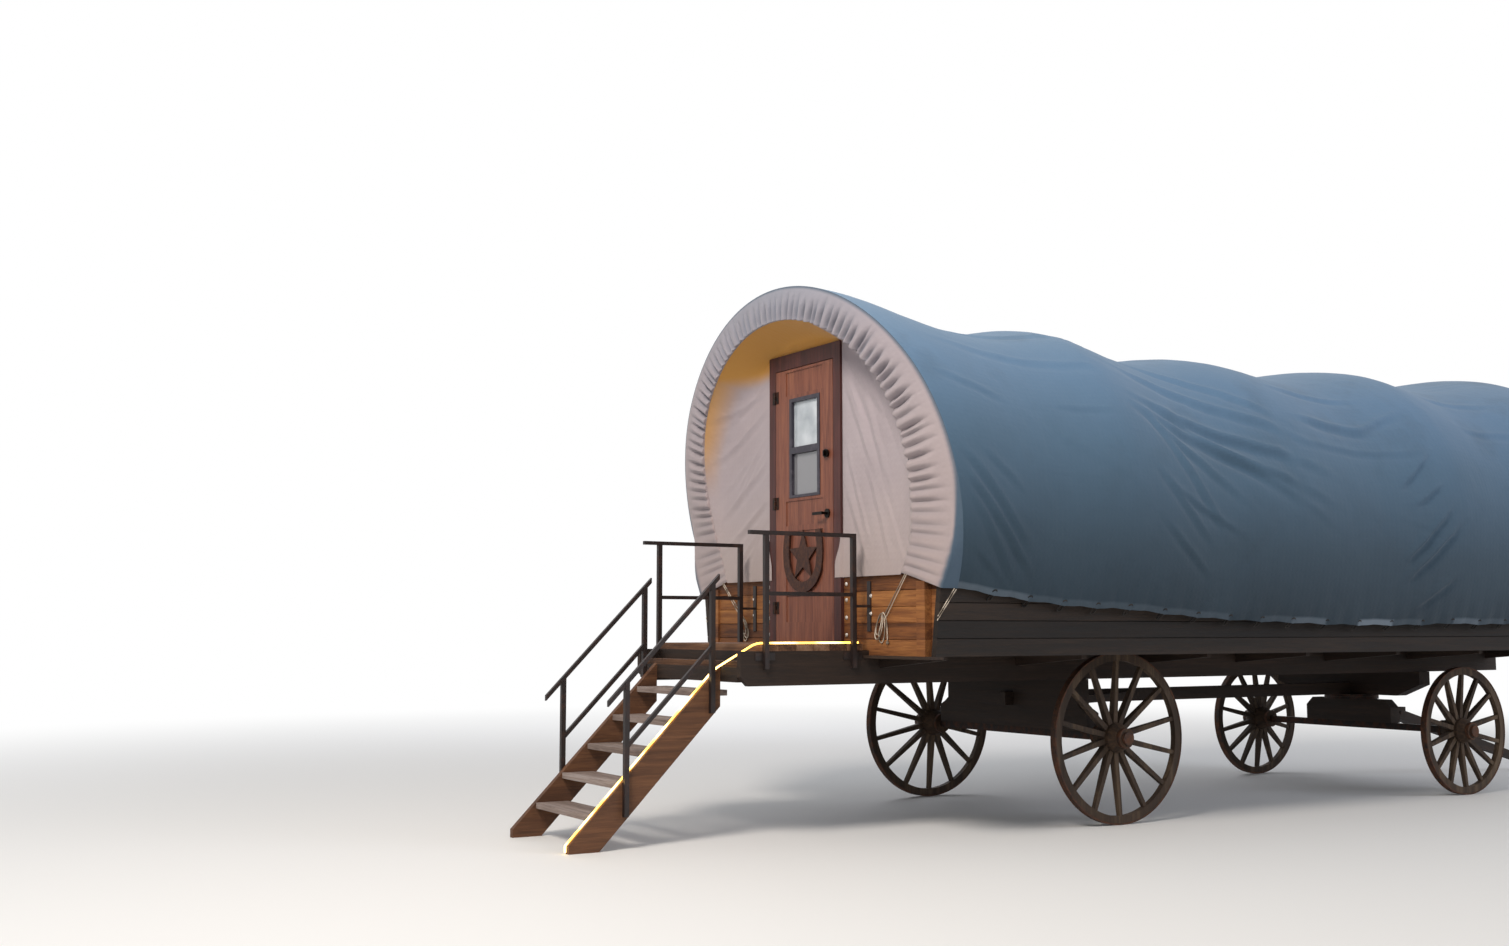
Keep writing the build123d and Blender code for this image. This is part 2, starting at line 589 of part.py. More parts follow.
def door_hinges():
    """Plates and knuckles of the three butt hinges: those on the frame, and those on the leaf."""
    on_frame, on_leaf = [], []
    for height in HINGE_HEIGHTS:
        low = height - HINGE_LENGTH / 2
        knuckle = HINGE_LENGTH * 0.3

        def barrel(bottom, length):
            return Location((HINGE_X, HINGE_Y, bottom + length / 2)) * Cylinder(KNUCKLE_RADIUS, length)

        plate = block(-3, 0, HINGE_Y + 11, HINGE_Y + 42, low, low + HINGE_LENGTH)
        for bottom in (low, low + HINGE_LENGTH - knuckle):
            plate += block(-3, 0, HINGE_Y, HINGE_Y + 11, bottom, bottom + knuckle)
            plate += barrel(bottom, knuckle)
        on_frame.append(plate)
        middle = low + knuckle + 2
        length = HINGE_LENGTH - 2 * knuckle - 4
        tab = block(-3, 0, HINGE_Y - 42, HINGE_Y - 11, low, low + HINGE_LENGTH)
        tab += block(-3, 0, HINGE_Y - 11, HINGE_Y, middle, middle + length)
        on_leaf.append(tab + barrel(middle, length))
    return Compound(on_frame), Compound(on_leaf)


def latch():
    """Lever handles on both faces and the deadbolt above them."""
    pieces = []
    for face, outward in ((0, -1), (LEAF_THICKNESS, 1)):
        rose = Location((face + outward * 5, LATCH_Y, LEVER_Z), (0, 90, 0)) * Cylinder(32, 10)
        stem = Location((face + outward * 30, LATCH_Y, LEVER_Z), (0, 90, 0)) * Cylinder(9, 60)
        far = face + outward * 62
        lever = block(face + outward * 44, far, LATCH_Y - 12, LATCH_Y + 108, LEVER_Z - 10, LEVER_Z + 10)
        bolt = Location((face + outward * 10, LATCH_Y, BOLT_Z), (0, 90, 0)) * Cone(32, 26, 20)
        thumb = block(face + outward * 18, face + outward * 38, LATCH_Y - 5, LATCH_Y + 5, BOLT_Z - 20, BOLT_Z + 20)
        pieces += [rose + stem + lever, bolt + thumb]
    return Compound(pieces)


# Porch and steps

def deck():
    """Porch deck boards across the beams, and the landing board one step down between them."""
    pieces = []
    pitch = (0 - DECK_EDGE_X) / DECK_BOARDS
    for board in range(DECK_BOARDS):
        start = DECK_EDGE_X + board * pitch
        pieces.append(block(start, start + pitch - 5, -BEAM_OUTER_Y, BEAM_OUTER_Y, BEAM_TOP, FLOOR_TOP))
    inner = BEAM_OUTER_Y - BEAM_THICKNESS
    pieces.append(block(LANDING_EDGE_X, DECK_EDGE_X + 60, -inner, inner, LANDING_Z - TREAD_THICKNESS, LANDING_Z))
    return Compound(pieces)


def porch_joists():
    """Joists under the porch deck and the hanger board for the stringers."""
    inner = BEAM_OUTER_Y - BEAM_THICKNESS
    bottom = BEAM_BOTTOM + 25
    hanger = block(BEAM_START_X, BEAM_START_X + 40, -inner, inner, bottom, LANDING_Z - TREAD_THICKNESS)
    riser = block(DECK_EDGE_X, DECK_EDGE_X + 38, -inner, inner, LANDING_Z, BEAM_TOP)
    joist = block(-420, -382, -inner, inner, BEAM_BOTTOM + 60, BEAM_TOP)
    return Compound([hanger, riser, joist])


def nosing(step):
    """Front edge of a tread, counted down from the landing: its x and z."""
    return LANDING_EDGE_X - step * GOING, LANDING_Z - step * RISE


def stringer_top(x):
    """Height of the stringers' top edge."""
    return LANDING_Z + (x - LANDING_EDGE_X) * RISE / GOING


def stringers():
    """Two cut planks that carry the treads."""
    foot_back = BEAM_START_X - (stringer_top(BEAM_START_X) - STRINGER_DROP) * GOING / RISE
    outline = [
        (BEAM_START_X, stringer_top(BEAM_START_X)), (BEAM_START_X, stringer_top(BEAM_START_X) - STRINGER_DROP),
        (foot_back, 0), (STEP_FOOT_X, 0), (STEP_FOOT_X, stringer_top(STEP_FOOT_X)),
    ]
    plank = along_y(outline, STRINGER_INNER_Y, STRINGER_INNER_Y + STRINGER_THICKNESS)
    return Compound(mirrored(plank, Plane.XZ))


def treads():
    """Open treads housed between the stringers."""
    pieces = []
    for step in range(1, STEP_COUNT + 1):
        x, z = nosing(step)
        pieces.append(block(x, x + TREAD_DEPTH, -STRINGER_INNER_Y, STRINGER_INNER_Y, z - TREAD_THICKNESS, z))
    return Compound(pieces)


def sloped_rail(x_high, x_low, z_high, thickness, y_centre):
    """Square rail that follows the slope of the steps."""
    slope = RISE / GOING
    half = thickness / 2 * math.hypot(1, slope)
    z_low = z_high - (x_high - x_low) * slope
    outline = [(x_high, z_high + half), (x_low, z_low + half), (x_low, z_low - half), (x_high, z_high - half)]
    return along_y(outline, y_centre - thickness / 2, y_centre + thickness / 2)


def stair_rail():
    """Left handrail of the steps: two posts on the stringer, a top rail and a lower rail."""
    inner = STRINGER_INNER_Y + STRINGER_THICKNESS
    centre = inner + POST / 2
    slope = RISE / GOING
    top_at_upper = STAIR_RAIL_TOP
    rail = sloped_rail(UPPER_POST_X + 50, LOWER_POST_X - 130, top_at_upper + 50 * slope, RAIL, centre)
    rail += sloped_rail(UPPER_POST_X, LOWER_POST_X, top_at_upper - LOWER_RAIL_DROP, RAIL, centre)
    for post_x in (UPPER_POST_X, LOWER_POST_X):
        top = top_at_upper + (post_x - UPPER_POST_X) * slope
        foot = stringer_top(post_x) - STRINGER_DROP + 30
        rail += block(post_x - POST / 2, post_x + POST / 2, inner, inner + POST, foot, top)
    return rail


def porch_rail():
    """Left guard rail of the porch: two posts on the beam, two rails and the bracket to the gate."""
    inner = BEAM_OUTER_Y
    centre = inner + POST / 2
    top = FLOOR_TOP + RAIL_HEIGHT
    rail = block(OUTER_POST_X - 130, INNER_POST_X + POST / 2, centre - POST / 2, centre + POST / 2, top - RAIL, top)
    rail += block(OUTER_POST_X, INNER_POST_X, centre - RAIL / 2, centre + RAIL / 2, MID_RAIL_Z - 13, MID_RAIL_Z + 13)
    for post_x in (OUTER_POST_X, INNER_POST_X):
        rail += block(post_x - POST / 2, post_x + POST / 2, inner, inner + POST, BEAM_BOTTOM + 110, top - RAIL / 2)
        rail += block(post_x - 75, post_x + 75, inner, inner + 6, BEAM_TOP - 60, BEAM_TOP - 10)
    rail += block(INNER_POST_X, PLANK_FACE_X - 10, centre - 16, centre + 16, BRACKET_Z - 8, BRACKET_Z + 8)
    rail += block(PLANK_FACE_X - 10, PLANK_FACE_X, centre - 20, centre + 20, BRACKET_Z - 170, BRACKET_Z + 170)
    return rail


def rope_light():
    """Rope light clipped along the right edge of the deck and down the right stringer."""
    lift = ROPE_RADIUS + 1
    slope = math.atan2(RISE, GOING)
    on_slope = lift / math.cos(slope)
    y_deck = -BEAM_OUTER_Y + 18
    y_step = -STRINGER_INNER_Y - STRINGER_THICKNESS / 2
    foot_x = STEP_FOOT_X - 14
    points = [
        (-30, y_deck, FLOOR_TOP + lift),
        (DECK_EDGE_X - 35, y_deck, FLOOR_TOP + lift),
        (BEAM_START_X - 40, y_step, stringer_top(BEAM_START_X - 40) + on_slope + 4),
        (foot_x, y_step, stringer_top(foot_x) + on_slope + 2),
        (foot_x, y_step, 12),
    ]
    path = FilletPolyline(*points, radius=[70, 110, 18])
    start = Plane(origin=path @ 0, z_dir=path % 0)
    return sweep(start * Circle(ROPE_RADIUS), path=path)


def mirror_end(shape):
    """The same piece at the draw end."""
    middle = Plane(origin=(BOX_LENGTH / 2, 0, 0), x_dir=(0, 1, 0), z_dir=(1, 0, 0))
    return shape.mirror(middle)


def assembly():
    """Every node of the wagon by name."""
    nodes = {}
    nodes["cover_canvas"] = cover()
    nodes["cover_bows"] = bows()
    door_end, draw_end = SECTIONS[0][2:], SECTIONS[-1][2:]
    doorway = block(-10, 200, -FRAME_HALF_WIDTH, FRAME_HALF_WIDTH, 0, FRAME_TOP)
    nodes["door_end_band"] = end_band(*door_end) - doorway
    nodes["draw_end_band"] = mirror_end(end_band(*draw_end))
    nodes["door_end_canvas"] = end_canvas(door_end[0]) - doorway
    nodes["draw_end_canvas"] = mirror_end(end_canvas(draw_end[0]))
    batten = block(PLANK_FACE_X - BATTEN_THICKNESS, PLANK_FACE_X, FRAME_HALF_WIDTH, BATTEN_Y, BOX_BOTTOM, GATE_TOP)
    nodes["door_end_gate"] = Compound(mirrored(gate(FRAME_HALF_WIDTH) + batten, Plane.XZ))
    half = gate(0)
    nodes["draw_end_gate"] = mirror_end(half + half.mirror(Plane.XZ))
    nodes["box_side_left"], nodes["box_side_right"] = mirrored(side_board(), Plane.XZ)
    nodes["box_floor"] = floor()
    nodes["floor_joists"] = floor_joists()
    nodes["door_sill"] = sill()
    nodes["chassis_beams"] = chassis_beams()
    nodes["reach_pole"] = reach()
    nodes["rear_bolster"] = rear_bolster()
    nodes["front_bolster"] = front_bolster()
    nodes["turntable_top"] = turntable_top()
    nodes["rear_axle"] = axle(REAR_AXLE_X, REAR_WHEEL_RADIUS)
    nodes["front_axle"] = axle(FRONT_AXLE_X, FRONT_WHEEL_RADIUS)
    nodes["front_axle_bed"] = front_axle_bed()
    nodes["turntable_bottom"] = turntable_bottom()
    nodes.update(tongue_pieces())
    nodes.update(wheel_pieces("rear", REAR_WHEEL_RADIUS, REAR_AXLE_X))
    nodes.update(wheel_pieces("front", FRONT_WHEEL_RADIUS, FRONT_AXLE_X))
    nodes["porch_deck"] = deck()
    nodes["porch_joists"] = porch_joists()
    nodes["porch_rail_left"], nodes["porch_rail_right"] = mirrored(porch_rail(), Plane.XZ)
    nodes["stair_stringers"] = stringers()
    nodes["stair_treads"] = treads()
    nodes["stair_rail_left"], nodes["stair_rail_right"] = mirrored(stair_rail(), Plane.XZ)
    nodes["rope_light"] = rope_light()
    nodes["door_frame"] = door_frame()
    nodes["door_leaf"] = leaf()
    nodes["door_window_frame"] = window_frame()
    nodes["door_glass"] = glass()
    nodes["door_horseshoe"] = horseshoe()
    nodes["door_latch"] = latch()
    nodes["door_hinges_frame"], nodes["door_hinges_leaf"] = door_hinges()
    return nodes


def main():
    """Centre the wagon over its footprint and write each node."""
    nodes = assembly()
    boxes = [shape.bounding_box() for shape in nodes.values()]
    low_x = min(box.min.X for box in boxes)
    high_x = max(box.max.X for box in boxes)
    shift = -(low_x + high_x) / 2
    print("x shift", round(shift, 3), "lowest", min(box.min.Z for box in boxes))
    os.makedirs("parts", exist_ok=True)
    for node, shape in nodes.items():
        export_step(shape.moved(Location((shift, 0, 0))), f"parts/{node}.step")


main()
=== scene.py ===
"""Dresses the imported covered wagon: canvas, timber, iron, glass and rope, with the studio round it.

Lengths are in metres and places are in the row frame, as the frame holds them.
"""

import logging
import math
import random
from dataclasses import dataclass
from enum import Enum
from fnmatch import fnmatch
from typing import Optional, Sequence

import bpy
import numpy as np
from mathutils import Matrix, Vector, noise

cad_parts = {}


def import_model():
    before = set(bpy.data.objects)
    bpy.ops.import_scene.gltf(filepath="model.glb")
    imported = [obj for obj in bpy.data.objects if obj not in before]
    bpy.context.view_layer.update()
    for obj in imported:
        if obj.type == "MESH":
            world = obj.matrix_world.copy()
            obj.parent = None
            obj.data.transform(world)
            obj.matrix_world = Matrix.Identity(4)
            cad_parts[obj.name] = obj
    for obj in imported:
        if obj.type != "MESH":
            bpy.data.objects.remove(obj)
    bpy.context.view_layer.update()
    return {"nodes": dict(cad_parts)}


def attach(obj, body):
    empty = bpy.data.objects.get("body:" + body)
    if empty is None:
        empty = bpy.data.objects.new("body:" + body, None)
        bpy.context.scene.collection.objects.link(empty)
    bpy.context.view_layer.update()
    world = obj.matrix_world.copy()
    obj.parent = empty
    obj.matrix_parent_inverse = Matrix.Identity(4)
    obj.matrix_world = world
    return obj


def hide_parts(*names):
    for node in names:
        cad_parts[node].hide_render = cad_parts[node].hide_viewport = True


LOG = logging.getLogger("wagon")
# X of the door end's datum, from which the tables below count
SHIFT_X = -3.288728
# Metres between the crests of a wave texture of scale 1
WAVE_PERIOD = math.tau / 20
BODY = "wagon"


class Axis(Enum):
    """A direction of the row frame, as a place in a vector."""

    X = 0
    Y = 1
    Z = 2


class End(Enum):
    """An end of the wagon, with the way that it faces along X."""

    DOOR = -1
    DRAW = 1


class Side(Enum):
    """A side of the wagon, with its sign along Y."""

    LEFT = 1
    RIGHT = -1


def word(choice: Enum) -> str:
    """A choice's name, as the names of the pieces have it."""
    return choice.name.lower()


# Colour and node helpers

def linear(hex_code: str) -> tuple[float, float, float, float]:
    """Turns six sRGB hex digits to linear RGBA, with an alpha of 1."""
    channels = [int(hex_code[i:i + 2], 16) / 255 for i in (0, 2, 4)]
    return (*[c / 12.92 if c <= 0.04045 else ((c + 0.055) / 1.055) ** 2.4 for c in channels], 1.0)


def feed(node: bpy.types.Node, links: dict) -> None:
    """Feeds a node's inputs.

    Args:
        node: the node.
        links: input name or number to what feeds it: a socket, a node's first output, or a plain value.
    """
    for name, value in links.items():
        if isinstance(value, bpy.types.Node):
            value = value.outputs[0]
        if isinstance(value, bpy.types.NodeSocket):
            node.id_data.links.new(value, node.inputs[name])
        else:
            node.inputs[name].default_value = value


def add(tree: bpy.types.NodeTree, kind: str, links: Optional[dict] = None, stops: Sequence[tuple[float, str]] = (),
        **settings: object) -> bpy.types.Node:
    """Adds a node with its settings and links.

    Args:
        tree: node tree that takes the node.
        kind: Blender's name of the shader node, without its first two words.
        links: what feeds its inputs, as feed takes it.
        stops: places and hex colours of a colour ramp, in order.
        settings: properties of the node itself.

    Returns:
        The new node.
    """
    node = tree.nodes.new(f"ShaderNode{kind}")
    for name, value in settings.items():
        setattr(node, name, value)
    feed(node, links or {})
    for number, (place, colour) in enumerate(stops):
        elements = node.color_ramp.elements
        element = elements[number] if number < len(elements) else elements.new(1.0)
        element.position, element.color = place, linear(colour)
    return node


def start_material(name: str) -> tuple[bpy.types.Material, bpy.types.NodeTree, bpy.types.Node, bpy.types.NodeSocket]:
    """Makes an empty material with a Principled shader.

    Args:
        name: name of the material.

    Returns:
        The material, its node tree, its shader and its Object coordinates.
    """
    material = bpy.data.materials.new(name)
    material.use_nodes = True
    tree = material.node_tree
    tree.nodes.clear()
    shader = add(tree, "BsdfPrincipled")
    add(tree, "OutputMaterial", {"Surface": shader})
    return material, tree, shader, add(tree, "TexCoord").outputs["Object"]


# Finishes

@dataclass(frozen=True)
class Canvas:
    """Heavy cotton duck: matte, woven, mottled by weather, and toned by its height above the ground, where the tones
    are painted light and shade.

    The threads are drawn coarser than real ones, so that they show.
    """

    name: str
    tones: tuple[tuple[float, str], ...]
    stain: str
    # Colour of painted light and shade, mixed in by the shares that each piece gives
    tint: Optional[str] = None
    thread_mm: float = 43.98
    mottle_mm: float = 700.0
    slub_mm: float = 22.2222
    crease_mm: float = 312.5
    sway: float = 0.35

    def material(self) -> bpy.types.Material:
        """Builds the cloth from its UV map, whose unit is a metre, and its tint attribute, which paints light and
        shade.

        Returns:
            The material.
        """
        material, tree, shader, place = start_material(self.name)
        mottle = add(tree, "TexNoise", {"Vector": place, "Scale": 1000 / self.mottle_mm, "Detail": 6.0,
                                        "Roughness": 0.65})
        height = add(tree, "SeparateXYZ", {0: place}).outputs["Z"]
        sway = add(tree, "Math", {0: mottle, 1: self.sway}, operation="MULTIPLY")
        swayed = add(tree, "Math", {0: height, 1: sway}, operation="ADD")
        # Painted light and shade: the tones by height stand for how the light falls at each height, swayed by the
        # mottling
        low, high = self.tones[0][0], self.tones[-1][0]
        offset = 0.17
        level = add(tree, "MapRange", {"Value": swayed, "From Min": low + offset, "From Max": high + offset})
        toned = add(tree, "ValToRGB", {"Fac": level}, [((z - low) / (high - low), tone) for z, tone in self.tones])
        dirt = add(tree, "MapRange", {"Value": mottle, "From Min": 0.5, "From Max": 0.75, "To Max": 0.35})
        colour = add(tree, "Mix", {"Factor": dirt, 6: toned, 7: linear(self.stain)}, data_type="RGBA").outputs[2]
        # Painted light and shade: the second colour, in the share that the piece's attribute holds
        if self.tint:
            share = add(tree, "Attribute", attribute_name="tint").outputs["Fac"]
            colour = add(tree, "Mix", {"Factor": share, 6: colour, 7: linear(self.tint)}, data_type="RGBA").outputs[2]
        uv = add(tree, "UVMap", uv_map="cloth")
        threads = [add(tree, "TexWave", {"Vector": uv, "Scale": WAVE_PERIOD * 1000 / self.thread_mm, "Distortion": 0.6,
                                         "Detail": 1.0}, bands_direction=way).outputs["Fac"] for way in "XY"]
        weave = add(tree, "Math", {0: threads[0], 1: threads[1]}, operation="MULTIPLY")
        slub = add(tree, "TexNoise", {"Vector": uv, "Scale": 1000 / self.slub_mm, "Detail": 6.0, "Roughness": 0.7})
        creases = add(tree, "TexNoise", {"Vector": uv, "Scale": 1000 / self.crease_mm, "Detail": 3.0,
                                         "Distortion": 1.4})
        grain = add(tree, "Math", {0: weave, 1: slub}, operation="ADD")
        fine = add(tree, "Bump", {"Strength": 0.22, "Distance": 0.003, "Height": grain})
        rough = add(tree, "Bump", {"Strength": 0.30, "Distance": 0.02, "Height": creases, "Normal": fine})
        feed(shader, {"Base Color": colour, "Normal": rough, "Roughness": 0.9, "Specular IOR Level": 0.2,
                      "Sheen Weight": 0.15})
        return material


@dataclass(frozen=True)
class Timber:
    """Sawn and stained timber: long grain lines, and boards that differ in tone."""

    name: str
    dark: str
    middle: str
    light: str
    grain: Axis
    grain_mm: float = 14.0
    board: Optional[Axis] = None
    board_mm: float = 115.0
    board_from: float = 0.0
    roughness: float = 0.7
    relief: float = 0.004
    ring_tone: float = 0.55
    stretch: float = 18.0
    broad: float = 6.0
    board_tone: float = 0.13

    def material(self) -> bpy.types.Material:
        """Builds the timber from Object coordinates, stretched along the grain.

        Returns:
            The material.
        """
        material, tree, shader, place = start_material(self.name)
        scale = [1000 / self.grain_mm] * 3
        scale[self.grain.value] /= self.stretch
        fine_map = add(tree, "Mapping", {"Vector": place, "Scale": scale})
        lines = add(tree, "TexNoise", {"Vector": fine_map, "Scale": 1.0, "Detail": 6.0, "Roughness": 0.62,
                                       "Distortion": 0.7})
        broad_map = add(tree, "Mapping", {"Vector": place, "Scale": [size / self.broad for size in scale]})
        broad = add(tree, "TexNoise", {"Vector": broad_map, "Scale": 1.0, "Detail": 3.0, "Distortion": 1.1})
        value = add(tree, "Mix", {"Factor": 1 - self.ring_tone, 2: lines, 3: broad})
        if self.board:
            number = add(tree, "SeparateXYZ", {0: place}).outputs[self.board.name]
            for step, size in (("SUBTRACT", self.board_from), ("DIVIDE", self.board_mm / 1000), ("FLOOR", 0.0)):
                number = add(tree, "Math", {0: number, 1: size}, operation=step)
            own = add(tree, "TexWhiteNoise", {"W": number}, noise_dimensions="1D")
            shift = add(tree, "MapRange", {"Value": own, "To Min": -self.board_tone, "To Max": self.board_tone})
            value = add(tree, "Math", {0: value, 1: shift}, operation="ADD")
        colour = add(tree, "ValToRGB", {"Fac": value}, ((0.30, self.dark), (0.50, self.middle), (0.72, self.light)))
        gloss = add(tree, "MapRange", {"Value": lines, "To Min": self.roughness - 0.12,
                                       "To Max": self.roughness + 0.15})
        bump = add(tree, "Bump", {"Strength": 0.55, "Distance": self.relief, "Height": lines})
        feed(shader, {"Base Color": colour, "Roughness": gloss, "Normal": bump, "Specular IOR Level": 0.35})
        return material


@dataclass(frozen=True)
class Metalwork:
    """Forged or painted metal with rust that blooms through it in patches."""

    name: str
    metal: str
    rust: str
    rust_share: float = 0.4
    metallic: float = 0.6
    roughness: float = 0.55
    patch_mm: float = 60.0
    pits_per_patch: int = 6

    def material(self) -> bpy.types.Material:
        """Builds the metal from Object coordinates.

        Returns:
            The material.
        """
        material, tree, shader, place = start_material(self.name)
        patches = add(tree, "TexNoise", {"Vector": place, "Scale": 1000 / self.patch_mm, "Detail": 7.0,
                                         "Roughness": 0.68})
        pits = add(tree, "TexNoise", {"Vector": place, "Scale": self.pits_per_patch * 1000 / self.patch_mm,
                                      "Detail": 3.0})
        edge = 0.72 - 0.35 * self.rust_share
        colour = add(tree, "ValToRGB", {"Fac": patches}, ((edge - 0.12, self.metal), (edge + 0.10, self.rust)))
        gloss = add(tree, "MapRange", {"Value": patches, "To Min": self.roughness - 0.15,
                                       "To Max": self.roughness + 0.3})
        bump = add(tree, "Bump", {"Strength": 0.3, "Distance": 0.0015, "Height": pits})
        feed(shader, {"Base Color": colour, "Roughness": gloss, "Normal": bump, "Metallic": self.metallic})
        return material


@dataclass(frozen=True)
class SheetGlass:
    """Float glass over a drawn blind: smooth, with a painted reflection of the pale sky in its upper pane."""

    name: str = "float glass over a blind"
    # Tones of the painted sky reflection, and the size of its clouds
    sky: tuple[tuple[float, str], ...] = ((0.35, "99A3AC"), (0.55, "C3CBD2"), (0.75, "DCE2E6"))
    blind: str = "7E7F84"
    rail_height: float = 2.70
    cloud_mm: float = 285.714

    def material(self) -> bpy.types.Material:
        """Builds the glass, with the painted sky reflection above the window's middle rail.

        Returns:
            The material.
        """
        material, tree, shader, place = start_material(self.name)
        height = add(tree, "SeparateXYZ", {0: place}).outputs["Z"]
        # Painted reflection: a cloudy sky above the middle rail, the blind below it
        clouds = add(tree, "TexNoise", {"Vector": place, "Scale": 1000 / self.cloud_mm, "Detail": 4.0})
        sky = add(tree, "ValToRGB", {"Fac": clouds}, self.sky)
        above = add(tree, "Math", {0: height, 1: self.rail_height}, operation="GREATER_THAN")
        colour = add(tree, "Mix", {"Factor": above, 6: linear(self.blind), 7: sky}, data_type="RGBA").outputs[2]
        feed(shader, {"Base Color": colour, "Roughness": 0.06, "IOR": 1.5, "Coat Weight": 0.6})
        return material


@dataclass(frozen=True)
class LightTube:
    """Clear vinyl tube with a string of warm lamps in it, drawn wider apart than real ones, so that they show."""

    name: str = "lit vinyl tube"
    lamp: str = "FFD98A"
    tube: str = "F2B64A"
    lamp_mm: float = 175.93
    strength: float = 5.0

    def material(self) -> bpy.types.Material:
        """Builds the tube, brightest where each lamp sits.

        Returns:
            The material.
        """
        material, tree, shader, place = start_material(self.name)
        lamps = add(tree, "TexWave", {"Vector": place, "Scale": WAVE_PERIOD * 1000 / self.lamp_mm},
                    bands_direction="DIAGONAL").outputs["Fac"]
        colour = add(tree, "ValToRGB", {"Fac": lamps}, ((0.2, self.tube), (0.8, self.lamp)))
        feed(shader, {"Base Color": colour, "Emission Color": colour, "Emission Strength": self.strength,
                      "Roughness": 0.3})
        return material


@dataclass(frozen=True)
class Cordage:
    """Laid or braided line: strands wound round it, drawn longer than real ones, and darker in the grooves."""

    name: str
    strand: str
    groove: str
    lay_mm: float

    def material(self) -> bpy.types.Material:
        """Builds the line from Object coordinates.

        Returns:
            The material.
        """
        material, tree, shader, place = start_material(self.name)
        strands = add(tree, "TexWave", {"Vector": place, "Scale": WAVE_PERIOD * 1000 / self.lay_mm, "Distortion": 1.5},
                      bands_direction="DIAGONAL").outputs["Fac"]
        colour = add(tree, "ValToRGB", {"Fac": strands}, ((0.2, self.groove), (0.7, self.strand)))
        bump = add(tree, "Bump", {"Strength": 0.7, "Distance": 0.002, "Height": strands})
        feed(shader, {"Base Color": colour, "Normal": bump, "Roughness": 0.9})
        return material


@dataclass(frozen=True)
class PaleFloor:
    """Matte pale floor that runs out to white away from the wagon and keeps its shadow."""

    name: str = "studio floor"
    colour: str = "E9E8E6"
    near: float = 5.0
    far: float = 17.0

    def material(self) -> bpy.types.Material:
        """Builds the floor, whose far part is white to the camera alone.

        Returns:
            The material.
        """
        material, tree, shader, place = start_material(self.name)
        feed(shader, {"Base Color": linear(self.colour), "Roughness": 0.9})
        away = add(tree, "VectorMath", {0: place}, operation="LENGTH").outputs["Value"]
        far = add(tree, "MapRange", {"Value": away, "From Min": self.near, "From Max": self.far},
                  interpolation_type="SMOOTHSTEP")
        path = add(tree, "LightPath")
        seen = add(tree, "Math", {0: path.outputs["Is Camera Ray"], 1: far}, operation="MULTIPLY")
        white = add(tree, "Background", {"Color": linear("FFFFFF"), "Strength": 1.0})
        mixed = add(tree, "MixShader", {0: seen, 1: shader, 2: white})
        add(tree, "OutputMaterial", {"Surface": mixed}).is_active_output = True
        return material


Finish = Canvas | Timber | Metalwork | SheetGlass | LightTube | Cordage | PaleFloor

# Cotton duck with painted light and shade: painted skylight leaves it cool and pale on top, painted shade makes it dark
# where it turns down to the hem, and its second colour paints paler patches of light through the cloth along the hem
COVER_DUCK = Canvas("woven cotton duck", ((1.45, "2B3842"), (1.95, "3A4C5A"), (2.6, "506A80"), (3.2, "6583A0"),
                                          (3.75, "7D98B2")), "35454F", tint="8894A0")
# The same duck in painted warm light on the gathered end, with painted shade in its pleats and the cover's painted
# skylight where it turns over the bow
BAND_DUCK = Canvas("gathered cotton duck", ((1.6, "B0A09E"), (2.6, "B1A4A6"), (3.3, "A69DA3"), (3.8, "9496A2")),
                   "9B8F90", tint="506273")
# Thin duck with painted warm light in gold over the top and down the left of its cove, and the same duck without it at
# the unlit end
WALL_DUCK = Canvas("lamplit cotton duck", ((1.7, "B1A29E"), (2.5, "AFA4A8"), (3.3, "AAA0A6")), "9B8F92",
                   tint="CC9850")
FAR_WALL_DUCK = Canvas("unlit cotton duck", ((1.7, "B3A6A2"), (3.4, "B9AFB0")), "9B8F8F")
# Tarred marline, near black, and soft cotton line, pale with grey grooves
TARRED_LINE = Cordage("tarred marline", "2B2724", "0F0D0C", 75.4)
COTTON_LINE = Cordage("braided cotton line", "C9BBAA", "7E7264", 56.55)
# Stained pine in painted light, orange where the rope light falls on the gate, and the same pine in painted shade,
# nearly black on the sides under the cover, whose boards still differ
GATE_PINE = Timber("stained pine boards", "4A2A17", "7D4D2A", "A8713F", Axis.Y, board=Axis.Z, board_mm=108,
                   board_from=1.205)
SIDE_PINE = Timber("pitched pine boards", "0F0B09", "1E1611", "35281F", Axis.X, board=Axis.Z, board_from=1.205)
# Creosoted fir: dull, almost black, with a slow grain that runs along each beam
BEAM_FIR = Timber("creosoted fir beam", "17100C", "2A1E17", "403026", Axis.X, grain_mm=20)
CROSS_FIR = Timber("creosoted fir crosspiece", "17100C", "2A1E17", "403026", Axis.Y, grain_mm=20)
# Oak underfoot, trodden pale and dry, and a thinly stained fir plank beside it
DECK_OAK = Timber("walked oak boards", "3A2418", "6B4A33", "8F7059", Axis.Y, board=Axis.X, board_mm=133.3,
                  board_from=SHIFT_X - 0.8)
TREAD_OAK = Timber("worn oak treads", "4B3B33", "8A7A72", "B4A8A2", Axis.Y, grain_mm=18)
STRINGER_FIR = Timber("stained fir plank", "3A2519", "5F3F2A", "80583B", Axis.X, grain_mm=22)
# Mahogany under thin varnish: fine straight grain with a soft sheen, darker on the jambs
DOOR_MAHOGANY = Timber("stained door mahogany", "4A261B", "7B4938", "966349", Axis.Z, grain_mm=11, roughness=0.45,
                       relief=0.002)
FRAME_MAHOGANY = Timber("stained jamb mahogany", "2B1513", "472623", "613733", Axis.Z, grain_mm=12, roughness=0.5,
                        relief=0.002)
